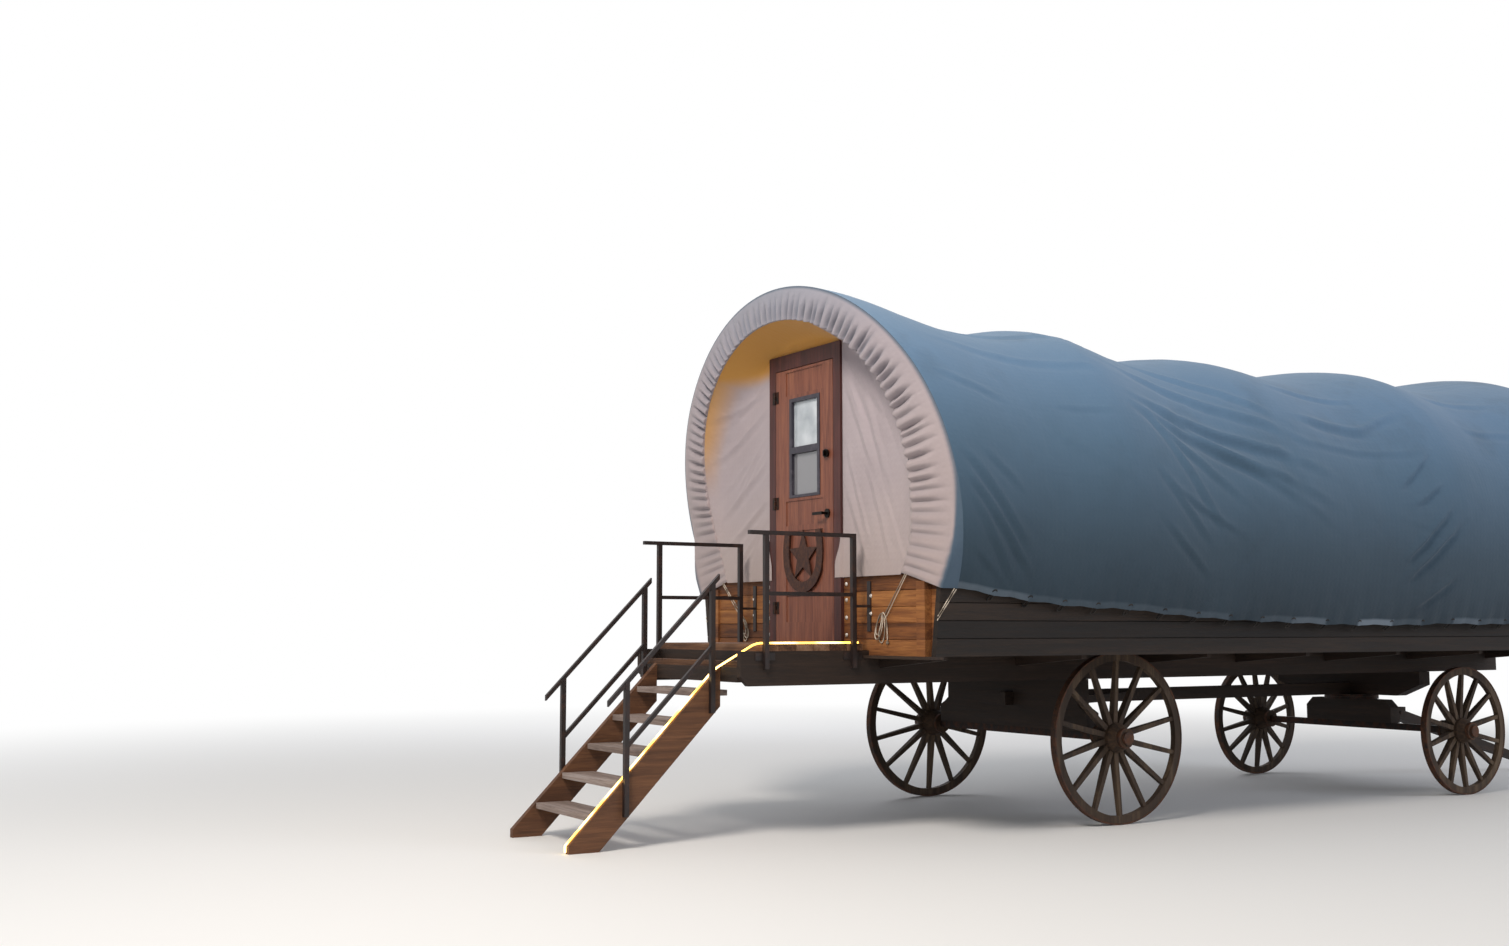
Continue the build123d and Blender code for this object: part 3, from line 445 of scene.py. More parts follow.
# Ash and elm left to weather: open grey-brown grain with no gloss; the bows stay clean and pale under the cover
WHEEL_ASH = Timber("weathered ash wheel", "1D1610", "3E3025", "6A5845", Axis.Z, grain_mm=26, roughness=0.8,
                   ring_tone=0.4)
HUB_ELM = Timber("turned elm hub", "1D140E", "3A2A1E", "594331", Axis.Y, grain_mm=16, roughness=0.8)
BOW_ASH = Timber("bent ash bow", "5A3E24", "8A6540", "A98458", Axis.Y)
# Iron under its scale, with rust in broad patches, and more of it on the tyres and the cast shoe
FORGED_IRON = Metalwork("forged iron", "1C1817", "4B2D1E", 0.5)
TYRE_IRON = Metalwork("rolled iron tyre", "2A2320", "5A3A28", 0.7, metallic=0.5, roughness=0.65)
SHOE_IRON = Metalwork("cast iron horseshoe", "3A221B", "5A3A2C", 0.5, metallic=0.5, roughness=0.5, patch_mm=30)
# Dark paint, thin on the steel tube and even on the window's aluminium
RAIL_PAINT = Metalwork("painted square tube", "1E1514", "3A241C", 0.3, metallic=0.1, roughness=0.45)
SASH_ALUMINIUM = Metalwork("painted aluminium sash", "383640", "55505A", 0.3, metallic=0.3, roughness=0.4)
# Bronze that hands have darkened and smoothed
LATCH_BRONZE = Metalwork("dark bronze lever", "15110F", "30231B", 0.3, metallic=0.8, roughness=0.35, patch_mm=20)
# Hot-dipped zinc, pale and bright, on the bolts' heads
BOLT_ZINC = Metalwork("galvanised steel bolt", "D8D2CB", "9A8E82", 0.3, metallic=0.4, roughness=0.4, patch_mm=12)

# Finishes of the CAD nodes that show as they are, by their names' patterns; the rest is forged iron
NODE_FINISHES: tuple[tuple[str, Finish], ...] = (
    ("*_end_gate", GATE_PINE), ("box_side_*", SIDE_PINE), ("box_floor", BEAM_FIR), ("chassis_beams", BEAM_FIR),
    ("reach_pole", BEAM_FIR), ("tongue_pole", BEAM_FIR), ("floor_joists", CROSS_FIR), ("door_sill", CROSS_FIR),
    ("*_bolster", CROSS_FIR), ("front_axle_bed", CROSS_FIR), ("porch_joists", CROSS_FIR), ("porch_deck", DECK_OAK),
    ("stair_stringers", STRINGER_FIR), ("stair_treads", TREAD_OAK), ("door_leaf", DOOR_MAHOGANY),
    ("door_frame", FRAME_MAHOGANY), ("cover_bows", BOW_ASH), ("door_horseshoe", SHOE_IRON),
    ("door_latch", LATCH_BRONZE), ("door_window_frame", SASH_ALUMINIUM), ("door_glass", SheetGlass()),
    ("rope_light", LightTube()), ("*_rail_*", RAIL_PAINT), ("wheel_*_wood", WHEEL_ASH), ("wheel_*_hub", HUB_ELM),
    ("wheel_*_iron", TYRE_IRON),
)


def paint(obj: bpy.types.Object, finish: Finish) -> None:
    """Gives an object one finish, whose material is made once."""
    obj.data.materials.clear()
    obj.data.materials.append(bpy.data.materials.get(finish.name) or finish.material())


# Forms

@dataclass(frozen=True)
class Hoop:
    """One arch of the cover: a crown, two shoulders and two sides that draw in to the hem."""

    foot_x: float
    lean: float
    crown: float
    half_width: float
    spring: float
    hem: float
    hem_half_width: float
    datum: Optional[float] = None
    shoulder_share: float = 0.766

    @property
    def base(self) -> float:
        """Height from which distances up the arch's plane count."""
        return self.hem if self.datum is None else self.datum

    def outline(self, count: int) -> list[tuple[float, float]]:
        """Points round the arch at even distances.

        Args:
            count: number of points from the left hem to the right hem.

        Returns:
            Pairs of Y and distance up the arch's plane from its base.
        """
        crown, spring, foot = [(z - self.base) / math.cos(self.lean) for z in (self.crown, self.spring, self.hem)]
        shoulder = self.shoulder_share * self.half_width
        rise, reach = crown - spring, self.half_width - shoulder
        top = (reach ** 2 + rise ** 2 - shoulder ** 2) / (2 * (rise - shoulder))
        climb = math.pi / 2 - math.atan2(reach, top - rise)
        drawn, drop = self.half_width - self.hem_half_width, spring - foot
        side = (drawn ** 2 + drop ** 2) / (2 * drawn)
        dip = math.asin(drop / side)
        lengths = (side * dip, shoulder * climb, top * (math.pi / 2 - climb))
        half = sum(lengths)
        points = []
        for step in range(count):
            walked = half - abs(2 * half * step / (count - 1) - half)
            sign = 1 if step * 2 <= count - 1 else -1
            if walked < lengths[0]:
                radius, angle, y, v = side, walked / side - dip, self.half_width - side, spring
            elif walked < lengths[0] + lengths[1]:
                radius, angle, y, v = shoulder, (walked - lengths[0]) / shoulder, self.half_width - shoulder, spring
            else:
                radius, angle, y, v = top, climb + (walked - lengths[0] - lengths[1]) / top, 0.0, crown - top
            points.append((sign * (y + radius * math.cos(angle)), v + radius * math.sin(angle)))
        return points

    def place(self, y: float, v: float) -> Vector:
        """Puts a point of the arch's plane, to the left by y and up it by v, in the row frame."""
        return Vector((self.foot_x - v * math.sin(self.lean), y, self.base + v * math.cos(self.lean)))


def smooth_step(value: float) -> float:
    """Eases a value from 0 to 1."""
    held = min(1.0, max(0.0, value))
    return held * held * (3 - 2 * held)


def deselect() -> None:
    """Leaves nothing selected."""
    bpy.ops.object.select_all(action="DESELECT")


def cloth_piece(name: str, grid: np.ndarray, finish: Finish, inward: bool = False,
                spread: Optional[np.ndarray] = None, tint: Optional[np.ndarray] = None) -> bpy.types.Object:
    """Makes a sheet from a grid of points, with a UV map in metres of cloth.

    Args:
        name: name of the piece.
        grid: points by column and row.
        finish: its finish.
        inward: whether the faces turn the other way.
        spread: UV places by column and row, or none to measure them along the grid.
        tint: share of the finish's second colour by column and row, which paints light and shade.

    Returns:
        The new object.
    """
    columns, rows = grid.shape[:2]
    corners = (np.arange(columns - 1)[:, None] * rows + np.arange(rows - 1)).reshape(-1, 1)
    ring = (0, rows, rows + 1, 1)
    mesh = bpy.data.meshes.new(name)
    mesh.from_pydata(grid.reshape(-1, 3).tolist(), [], (corners + (ring[::-1] if inward else ring)).tolist())
    mesh.update()
    obj = bpy.data.objects.new(name, mesh)
    bpy.context.scene.collection.objects.link(obj)
    paint(obj, finish)
    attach(obj, BODY)
    if spread is None:
        across = np.cumsum(np.linalg.norm(np.diff(grid, axis=0, prepend=grid[:1]), axis=2).mean(axis=1))
        along = np.cumsum(np.linalg.norm(np.diff(grid, axis=1, prepend=grid[:, :1]), axis=2).mean(axis=0))
        spread = np.stack(np.meshgrid(across, along, indexing="ij"), axis=2)
    numbers = np.zeros(len(mesh.loops), dtype=np.int64)
    mesh.loops.foreach_get("vertex_index", numbers)
    layer = mesh.uv_layers.new(name="cloth")
    layer.data.foreach_set("uv", spread.reshape(-1, 2)[numbers].astype(np.float32).ravel())
    if tint is not None:
        shares = mesh.attributes.new("tint", "FLOAT", "POINT")
        shares.data.foreach_set("value", tint.astype(np.float32).ravel())
    mesh.shade_smooth()
    return obj


@dataclass(frozen=True)
class Crease:
    """A long fold in cloth: a crest beside a wider trough, fading at its ends and bowing a little."""

    u: float
    v: float
    heading: float
    length: float
    width: float
    height: float

    @classmethod
    def between(cls, start: Sequence[float], end: Sequence[float], width: float, height: float) -> "Crease":
        """A fold from one place of the cloth to another.

        Args:
            start: place of its first end, in metres.
            end: place of its last end, in metres.
            width: half the width of its crest.
            height: height of its crest.

        Returns:
            The fold.
        """
        run, rise = end[0] - start[0], end[1] - start[1]
        fading = 1.2
        return cls((start[0] + end[0]) / 2, (start[1] + end[1]) / 2, math.atan2(rise, run),
                   math.hypot(run, rise) * fading, width, height)

    def relief(self, u: np.ndarray, v: np.ndarray) -> np.ndarray:
        """Height of the fold over a spread of cloth.

        Args:
            u: places across the cloth, in metres.
            v: places along the cloth, in metres.

        Returns:
            Heights at those places.
        """
        along = (u - self.u) * math.cos(self.heading) + (v - self.v) * math.sin(self.heading)
        across = (v - self.v) * math.cos(self.heading) - (u - self.u) * math.sin(self.heading)
        across = across + 0.10 * self.width * np.sin(along / self.width * 0.6)
        fade = np.exp(-(along / (self.length / 2)) ** 4)
        crest = np.exp(-np.abs(across / self.width) ** 1.3)
        trough = 0.8 * np.exp(-((across - 1.7 * self.width) / (1.3 * self.width)) ** 2)
        return self.height * fade * (crest - trough)


@dataclass
class WagonCover:
    """Canvas cover, stretched over five hoops and laced down along both hems."""

    hoops: tuple[Hoop, ...]
    sags: tuple[Hoop, ...]
    columns: int = 281
    rows: int = 341
    sag_power: float = 0.85
    fold_share: float = 1.6
    loose_folds: int = 7
    ties_per_bay: int = 5
    hoop_clear: float = 0.16
    hoop_least: float = 0.15
    hem_clear: float = 0.25
    hem_least: float = 0.25
    end_clear: float = 0.12
    pucker: float = 0.010
    pucker_reach: float = 0.16
    crumple: float = 0.006
    crumples_per_metre: tuple[float, float] = (1.7, 1.1)
    hem_rise: float = 0.012
    rise_reach: float = 0.12
    # Paler patches of painted light through the cloth along the hem, between the ties: the width of their band and
    # their shares
    hem_band: float = 0.045
    hem_glow_shares: tuple[float, ...] = (0.0, 0.12, 0.3, 0.6)
    spare: float = 0.5
    seed: int = 12

    @property
    def bays(self) -> int:
        """Number of spans between the hoops."""
        return len(self.hoops) - 1

    def section(self, walk: float) -> Hoop:
        """The arch at a distance along the cover.

        Args:
            walk: bays walked from the door end.

        Returns:
            The arch there.
        """
        bay = min(int(walk), self.bays - 1)
        share = walk - bay
        sag = (0.5 - 0.5 * math.cos(math.tau * share)) ** self.sag_power
        values = []
        for name in ("foot_x", "lean", "crown", "half_width", "spring", "hem", "hem_half_width"):
            low, high, middle = [getattr(arch, name) for arch in (self.hoops[bay], self.hoops[bay + 1], self.sags[bay])]
            mean = (low + high) / 2
            bend = sag if name in ("crown", "half_width", "spring") else 4 * share * (1 - share)
            values.append(low + (high - low) * share + (middle - mean) * bend)
        return Hoop(*values)

    def creases(self, length: float, girth: float) -> list[Crease]:
        """Folds drawn by the pull of the hoops and the ties.

        Args:
            length: length of the cloth along the wagon.
            girth: length of the cloth from hem to hem.

        Returns:
            The folds.
        """
        rng = random.Random(self.seed)
        folds = []
        pitch = length / self.bays
        for first, low, last, high, width, height in FOLD_ROWS:
            right, left = ((first, 1 - low), (last, 1 - high)), ((self.bays - first, low), (self.bays - last, high))
            for start, end in (right, left):
                folds.append(Crease.between((start[0] * pitch, girth * start[1]), (end[0] * pitch, girth * end[1]),
                                            width / 1000, self.fold_share * height / 1000))
        for bay in range(self.bays):
            for _ in range(self.loose_folds):
                place = rng.choice((rng.uniform(0.04, 0.3), rng.uniform(0.36, 0.64), rng.uniform(0.7, 0.96))) * girth
                heading = rng.uniform(-0.15, 0.15) if 0.35 < place / girth < 0.65 else rng.uniform(-0.9, 0.9)
                folds.append(Crease((bay + rng.uniform(0.2, 0.8)) * pitch, place, heading, rng.uniform(0.4, 1.0),
                                    rng.uniform(0.02, 0.04), rng.uniform(0.002, 0.005)))
        return folds

    def build(self) -> bpy.types.Object:
        """Builds the cloth and lets it stand for the CAD cover.

        Returns:
            The cloth.
        """
        bays, middle = self.bays, self.columns // 2
        grid = np.zeros((self.columns, self.rows, 3))
        for column in range(self.columns):
            arch = self.section(bays * column / (self.columns - 1))
            grid[column] = [arch.place(y, v) for y, v in arch.outline(self.rows)]
        length = self.hoops[-1].foot_x - self.hoops[0].foot_x
        girth = np.linalg.norm(np.diff(grid[middle], axis=0), axis=1).sum()
        u, v = np.meshgrid(np.linspace(0, length, self.columns), np.linspace(0, girth, self.rows), indexing="ij")
        relief = np.zeros_like(u)
        for fold in self.creases(length, girth):
            relief += fold.relief(u, v)
        hem_near = np.minimum(v, girth - v)
        bay_share = (u / length * bays) % 1.0
        off_hoop = np.minimum(bay_share, 1 - bay_share) * length / bays
        relief *= (np.clip(self.hoop_least + off_hoop / self.hoop_clear, 0, 1)
                   * np.clip(hem_near / self.hem_clear, self.hem_least, 1))
        tie_turns = u / length * bays * self.ties_per_bay
        relief += self.pucker * np.sin(tie_turns * math.tau) ** 2 * np.exp(-hem_near / self.pucker_reach)
        across, along = self.crumples_per_metre
        for column in range(self.columns):
            for row in range(self.rows):
                spot = Vector((u[column, row] * across, v[column, row] * along, self.seed))
                relief[column, row] += self.crumple * noise.fractal(spot, 0.8, 2.1, 4)
        # The folds stay off the arch's own line at both ends, where the gathered bands meet the cover
        relief *= np.clip(np.minimum(u, length - u) / self.end_clear, 0, 1)
        normals = np.cross(np.gradient(grid, axis=0), np.gradient(grid, axis=1))
        normals = normals / np.maximum(np.linalg.norm(normals, axis=2, keepdims=True), 1e-9)
        outward = np.sign(normals[middle, self.rows // 2, 2])
        grid = grid + normals * outward * relief[..., None]
        lift = self.hem_rise * np.abs(np.sin(tie_turns * math.pi)) ** 0.7
        grid[..., 2] += lift * np.exp(-hem_near / self.rise_reach)
        # Painted light: paler patches along the hem between the ties, for light shining through the cloth
        rng = random.Random(self.seed + 1)
        gaps = bays * self.ties_per_bay
        patches = np.array([rng.choice(self.hem_glow_shares) for _ in range(gaps + 1)])
        patch = patches[np.minimum(u / length * gaps, gaps - 0.01).astype(int)] * (hem_near < self.hem_band)
        obj = cloth_piece("cover_cloth", grid, COVER_DUCK, inward=outward < 0,
                          spread=np.stack((u, v), axis=2), tint=patch)
        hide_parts("cover_canvas")
        return obj


@dataclass(frozen=True)
class Corner:
    """Lower corners of an end, where the canvas turns round the front of the boards."""

    end: End
    front: float = 0.018
    top: float = 2.42
    foot: float = 1.76
    length: float = 6.95

    def face(self, depth: float) -> float:
        """X of a plane at a depth inboard of the end's own datum."""
        return SHIFT_X + (depth if self.end is End.DOOR else self.length - depth)

    def turned(self, height: float) -> float:
        """How far the canvas is turned to the front of the boards at a height, from 0 to 1."""
        return smooth_step((self.top - height) / (self.top - self.foot))

    def forward(self, point: Vector, depth: float) -> Vector:
        """Brings a point to the plane at a depth behind the datum, unless it is ahead of it already."""
        ahead = min if self.end is End.DOOR else max
        return Vector((ahead(point.x, self.face(depth)), point.y, point.z))


@dataclass
class GatheredBand:
    """End of the cover, drawn in over the last bow by a cord at its throat, with sharp pleats at the cord."""

    corner: Corner
    rim: Hoop
    throat: Hoop
    columns: int = 1015
    rows: int = 30
    lip_rows: int = 3
    pleats: int = 78
    depth: float = 0.043
    roll: float = 0.060
    lip: float = 0.036
    wrap_share: float = 0.30
    shift_range: tuple[float, float] = (-0.2, 0.2)
    start_range: tuple[float, float] = (0.0, 0.26)
    size_range: tuple[float, float] = (0.6, 1.25)
    pinched: float = 0.80
    slack: float = 0.35
    draw: float = 0.015
    deep_from: float = 1.95
    # Height from which the painted shade in the pleats' valleys grows towards the crown, and its strength
    pleat_shade_from: float = 2.8
    pleat_shade: float = 0.55
    seams: float = 1.02
    seed: int = 5

    def ahead(self) -> Vector:
        """Direction off the end, square to its leaning plane."""
        facing_x = self.corner.end.value
        return Vector((facing_x * math.cos(self.rim.lean), 0.0, facing_x * math.sin(self.rim.lean)))

    def path(self, rim: Vector, cord: Vector, share: float) -> Vector:
        """Point of the smooth band between the rim and the cord.

        Args:
            rim: its point on the last bow.
            cord: its point at the throat.
            share: way from one to the other.

        Returns:
            The point.
        """
        cone = rim.lerp(cord, share) + self.ahead() * self.roll * (1 - (1 - share) ** 2.4 - share)
        turned = self.corner.turned(rim.z)
        if turned == 0:
            return cone
        edge = self.corner.forward(rim, self.corner.front)
        if share < self.wrap_share:
            wrapped = rim.lerp(edge, share / self.wrap_share)
        else:
            inner = self.corner.forward(cord, self.corner.front)
            wrapped = edge.lerp(inner, (share - self.wrap_share) / (1 - self.wrap_share))
        return cone.lerp(wrapped, turned)

    def build(self) -> bpy.types.Object:
        """Builds the pleated band and lets it stand for the CAD band.

        Returns:
            The band.
        """
        ahead = self.ahead()
        rng = random.Random(self.seed + self.corner.end.value)
        count = self.pleats + 2
        shifts, starts, sizes = [[rng.uniform(low, high) for _ in range(count)]
                                 for low, high in (self.shift_range, self.start_range, self.size_range)]
        outside, inside = self.rim.outline(self.columns), self.throat.outline(self.columns)
        grid = np.zeros((self.columns, self.rows + self.lip_rows, 3))
        tint = np.zeros(grid.shape[:2])
        for column in range(self.columns):
            walk = self.pleats * column / (self.columns - 1)
            off, near = min((abs(walk - n - shifts[n % count]), n % count)
                            for n in range(max(0, int(walk) - 1), int(walk) + 3))
            valley = (1 - 2 * min(0.5, off)) ** 1.6
            rim, cord = self.rim.place(*outside[column]), self.throat.place(*inside[column])
            size = self.depth * sizes[near] * (0.3 + 0.7 * smooth_step((rim.z - self.deep_from) / 0.6))
            # Painted shade in each pleat's valley, stronger towards the crown
            pleat_shade = self.pleat_shade * valley ** 0.7 * (0.4 + 0.6 * smooth_step((rim.z - self.pleat_shade_from) / 0.7))
            turned = self.corner.turned(rim.z)
            # Painted skylight: the rim takes the second colour where it turns over the bow, over more of it where it
            # wraps round the boards
            blue = 0.05 + self.wrap_share * turned
            for row in range(self.rows):
                share = row / (self.rows - 1)
                pinch = smooth_step((share - starts[near]) / (self.pinched - starts[near]))
                pinch *= 1 - self.slack * smooth_step((share - 0.88) / 0.12)
                point = self.path(rim, cord, share * (1 - self.draw * valley))
                grid[column, row] = point - ahead * size * valley * pinch
                tint[column, row] = max(pleat_shade * pinch, 1 - smooth_step((share - blue + 0.05) / 0.10))
            edge = Vector(grid[column, self.rows - 1])
            inner = self.corner.forward(cord, self.corner.front) if turned > 0 else cord
            back = cord.lerp(inner, turned) - ahead * self.lip * (1 - 0.85 * turned)
            for row in range(self.lip_rows):
                grid[column, self.rows + row] = edge.lerp(back, (row + 1) / self.lip_rows)
        end = word(self.corner.end)
        obj = cloth_piece(f"{end}_band_cloth", grid, BAND_DUCK, inward=self.corner.end is End.DRAW,
                          tint=tint)
        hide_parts(f"{end}_end_band")
        return obj


@dataclass
class EndWall:
    """Upright canvas wall that closes an end and curves forward to the throat, cut round the door at one end."""

    corner: Corner
    throat: Hoop
    arch: Hoop
    doorway_half: float
    doorway_top: float
    foot: float = 1.738
    columns: int = 341
    rows: int = 76
    flap_rows: int = 4
    set_back: float = 0.028
    lap: float = 0.021
    drop: float = 0.011
    bend: float = 0.15
    flap_top: float = 2.03
    near_flap: float = 0.075
    far_flap: float = 0.046
    flap_ahead: float = 0.006
    loose_folds: int = 16
    door_rows: int = 9
    throat_rows: int = 4
    foot_clear: float = 0.12
    # Heights from which the painted warm light shows in gold, across the top and down the left strip of the cove
    gold_from: float = 3.27
    strip_from: float = 2.35
    seam_gap: float = 0.0004
    cloth: tuple[float, float] = (3.4, 2.6)
    seed: int = 31

    def inner(self, share: float) -> tuple[float, float]:
        """Point of the doorway's outline, or of the middle seam where there is no door.

        Args:
            share: way round from the left foot to the right foot.

        Returns:
            Y and Z of the point.
        """
        tall = self.doorway_top - self.foot
        walked = share * 2 * (tall + self.doorway_half)
        if walked < tall:
            return self.doorway_half, self.foot + walked
        if walked < tall + 2 * self.doorway_half:
            return self.doorway_half - (walked - tall), self.doorway_top
        return -self.doorway_half, self.foot + 2 * (tall + self.doorway_half) - walked

    def path(self, start: Vector, bend: Vector, stop: Vector, share: float) -> Vector:
        """Point of a run that turns at a rounded corner.

        Args:
            start: its first point.
            bend: the corner.
            stop: its last point.
            share: way along it.

        Returns:
            The point.
        """
        first, second = max((bend - start).length, 0.001), (stop - bend).length
        cut_first, cut_second = min(0.5 * first, self.bend), min(0.4 * second, self.bend)
        walked = share * (first + second)
        if walked < first - cut_first:
            return start.lerp(bend, walked / first)
        if walked > first + cut_second:
            return bend.lerp(stop, (walked - first) / second)
        turn = (walked - first + cut_first) / (cut_first + cut_second)
        near = bend.lerp(start, cut_first / first)
        far = bend.lerp(stop, cut_second / second)
        return near.lerp(bend, turn).lerp(bend.lerp(far, turn), turn)

    def relief(self, grid: np.ndarray) -> np.ndarray:
        """Height of the folds that fan out over the wall.

        Args:
            grid: points by column and row.

        Returns:
            Heights by column and row.
        """
        rng = random.Random(self.seed + self.corner.end.value)
        folds = [Crease.between(row[:2], row[2:4], row[4] / 1000, row[5] / 1000) for row in WALL_FOLD_ROWS]
        for _ in range(self.loose_folds):
            side = rng.choice((1, -1))
            turn = rng.uniform(0.7, 1.1) if side > 0 else -rng.uniform(0.25, 0.6)
            folds.append(Crease(side * rng.uniform(self.doorway_half + 0.1, 1.1), rng.uniform(1.95, 3.1),
                                math.pi / 2 + turn, rng.uniform(0.3, 0.8), rng.uniform(0.012, 0.024),
                                rng.uniform(0.003, 0.006)))
        total = np.zeros(grid.shape[:2])
        for fold in folds:
            total += fold.relief(grid[..., 1], grid[..., 2])
        return total

    def glow(self, point: Vector, cove: float) -> float:
        """Share of the gold of painted warm light at a point, across the top and down the left of the cove.

        Args:
            point: point of the wall.
            cove: its way out over the cove, from 0 at the wall to 1 at the throat.

        Returns:
            The share, from 0 to 1.
        """
        top = smooth_step((point.z - self.gold_from + 0.10 * point.y) / 0.12) * smooth_step((point.y + 0.5) / 0.06)
        strip = 0.8 * smooth_step(cove) * smooth_step((point.y - 0.3) / 0.3)
        return max(top, strip * smooth_step((point.z - self.strip_from) / 0.6))

    def flap(self, y: float, z: float, share: float) -> Vector:
        """Point of the loose flap that lies over the door's frame, low on both sides of it.

        Args:
            y: distance of the doorway's edge to the left.
            z: height of the edge there.
            share: way over the flap.

        Returns:
            The point.
        """
        wide = (self.near_flap if y < 0 else self.far_flap) * smooth_step((self.flap_top - z) / 0.25)
        if abs(y) < self.doorway_half or wide == 0:
            return Vector((self.corner.face(self.corner.front), y, z))
        reach = wide * share * (1 + 0.08 * math.sin(z * 31)) - 0.002
        return Vector((self.corner.face(-self.flap_ahead), y - math.copysign(1, y) * reach, z))

    def close_seam(self, obj: bpy.types.Object) -> None:
        """Joins the wall's two halves where they meet in the middle.

        Args:
            obj: the wall's canvas.
        """
        deselect()
        obj.select_set(True)
        bpy.context.view_layer.objects.active = obj
        bpy.ops.object.mode_set(mode="EDIT")
        bpy.ops.mesh.select_all(action="SELECT")
        bpy.ops.mesh.remove_doubles(threshold=self.seam_gap)
        bpy.ops.object.mode_set(mode="OBJECT")

    def build(self) -> bpy.types.Object:
        """Builds the wall and lets it stand for the CAD wall.

        Returns:
            The wall.
        """
        door, outward = self.corner.end is End.DOOR, self.corner.end.value
        back = Vector((-outward * math.cos(self.throat.lean), 0.0, -outward * math.sin(self.throat.lean)))
        cord, edge = self.throat.outline(self.columns), self.arch.outline(self.columns)
        flaps = self.flap_rows if door else 0
        grid = np.zeros((self.columns, self.rows + flaps, 3))
        tint = np.zeros(grid.shape[:2])
        for column in range(self.columns):
            y, z = self.inner(column / (self.columns - 1))
            start, bend = self.throat.place(*cord[column]), self.arch.place(*edge[column])
            start_turn, bend_turn = self.corner.turned(start.z), self.corner.turned(bend.z)
            start = (start + back * self.set_back).lerp(self.corner.forward(start, self.lap), start_turn)
            bend = bend.lerp(self.corner.forward(bend, self.lap), bend_turn)
            start.z -= self.drop * start_turn
            bend.z -= self.drop * bend_turn
            stop = Vector((self.corner.face(self.corner.front), y, z))
            cove = (bend - start).length / ((bend - start).length + (stop - bend).length)
            for row in range(self.rows):
                share = row / (self.rows - 1)
                point = self.path(start, bend, stop, share)
                grid[column, row] = point
                # Painted warm light, in gold over the top and the left of the cove
                tint[column, row] = self.glow(point, 1 - share / max(cove, 0.001))
            for row in range(flaps):
                grid[column, self.rows + row] = self.flap(y, z, row / (flaps - 1))
        rows = np.arange(grid.shape[1])[None, :]
        fade = np.clip((self.rows - 1 - rows) / self.door_rows, 0, 1) * np.clip(rows / self.throat_rows, 0, 1)
        fade = fade * np.clip((grid[..., 2] - self.foot - 0.01) / self.foot_clear, 0, 1)
        grid[..., 0] += outward * self.relief(grid) * fade
        end = word(self.corner.end)
        obj = cloth_piece(f"{end}_wall_cloth", grid, WALL_DUCK if door else FAR_WALL_DUCK,
                          inward=not door, spread=grid[..., 1:].copy(), tint=tint)
        if not door:
            self.close_seam(obj)
        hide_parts(f"{end}_end_canvas")
        return obj


def facing(direction: Vector, place: Vector) -> Matrix:
    """A place whose +Z points along a direction."""
    return Matrix.Translation(place) @ direction.to_track_quat("Z", "Y").to_matrix().to_4x4()


def copies(master: bpy.types.Object, name: str, places: Sequence[Matrix], finish: Finish) -> bpy.types.Object:
    """Puts copies of a rigid piece at many places, as one piece that rides on the wagon.

    Args:
        master: the modelled piece at the origin, which is used up.
        name: name of the joined piece.
        places: where each copy goes.
        finish: its finish.

    Returns:
        The joined piece.
    """
    made = []
    for place in places:
        twin = master.copy()
        twin.data = master.data.copy()
        twin.data.transform(place)
        bpy.context.scene.collection.objects.link(twin)
        made.append(twin)
    bpy.data.objects.remove(master)
    deselect()
    for twin in made:
        twin.select_set(True)
    bpy.context.view_layer.objects.active = made[0]
    bpy.ops.object.join()
    joined = bpy.context.view_layer.objects.active
    bpy.ops.object.shade_smooth_by_angle(angle=math.radians(35))
    joined.name = joined.data.name = name
    paint(joined, finish)
    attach(joined, BODY)
    return joined


@dataclass
class Bolts:
    """Domed bolt heads on the door end's gate: rows on its battens and pairs on the rail brackets."""

    head: float = 0.015
    dome: float = 0.008
    batten_y: float = 0.505
    batten_rows: tuple[float, ...] = (1.69, 1.58, 1.46, 1.34)
    batten_face: float = 0.027
    bracket_y: float = 0.770
    bracket_rows: tuple[float, ...] = (1.605, 1.485)
    gate_face: float = 0.045

    def master(self) -> bpy.types.Object:
        """Models a head that faces +Z at the origin: the upper half of a sphere, pressed flatter.

        Returns:
            The head.
        """
        deselect()
        bpy.ops.mesh.primitive_uv_sphere_add(segments=14, ring_count=8, radius=self.head)
        obj = bpy.context.active_object
        bpy.ops.object.mode_set(mode="EDIT")
        bpy.ops.mesh.select_all(action="SELECT")
        bpy.ops.mesh.bisect(plane_co=(0, 0, 0), plane_no=(0, 0, 1), clear_inner=True, use_fill=True)
        bpy.ops.mesh.select_all(action="SELECT")
        bpy.ops.transform.resize(value=(1, 1, self.dome / self.head))
        bpy.ops.object.mode_set(mode="OBJECT")
        return obj

    def build(self) -> bpy.types.Object:
        """Builds the heads that face the porch.

        Returns:
            The joined heads.
        """
        rows = [(self.batten_face, self.batten_y, z) for z in self.batten_rows]
        rows += [(self.gate_face, self.bracket_y, z) for z in self.bracket_rows]
        places = [facing(Vector((-1, 0, 0)), Vector((x + SHIFT_X, side.value * y, z))) for side in Side
                  for x, y, z in rows]
        return copies(self.master(), "gate_bolts", places, BOLT_ZINC)


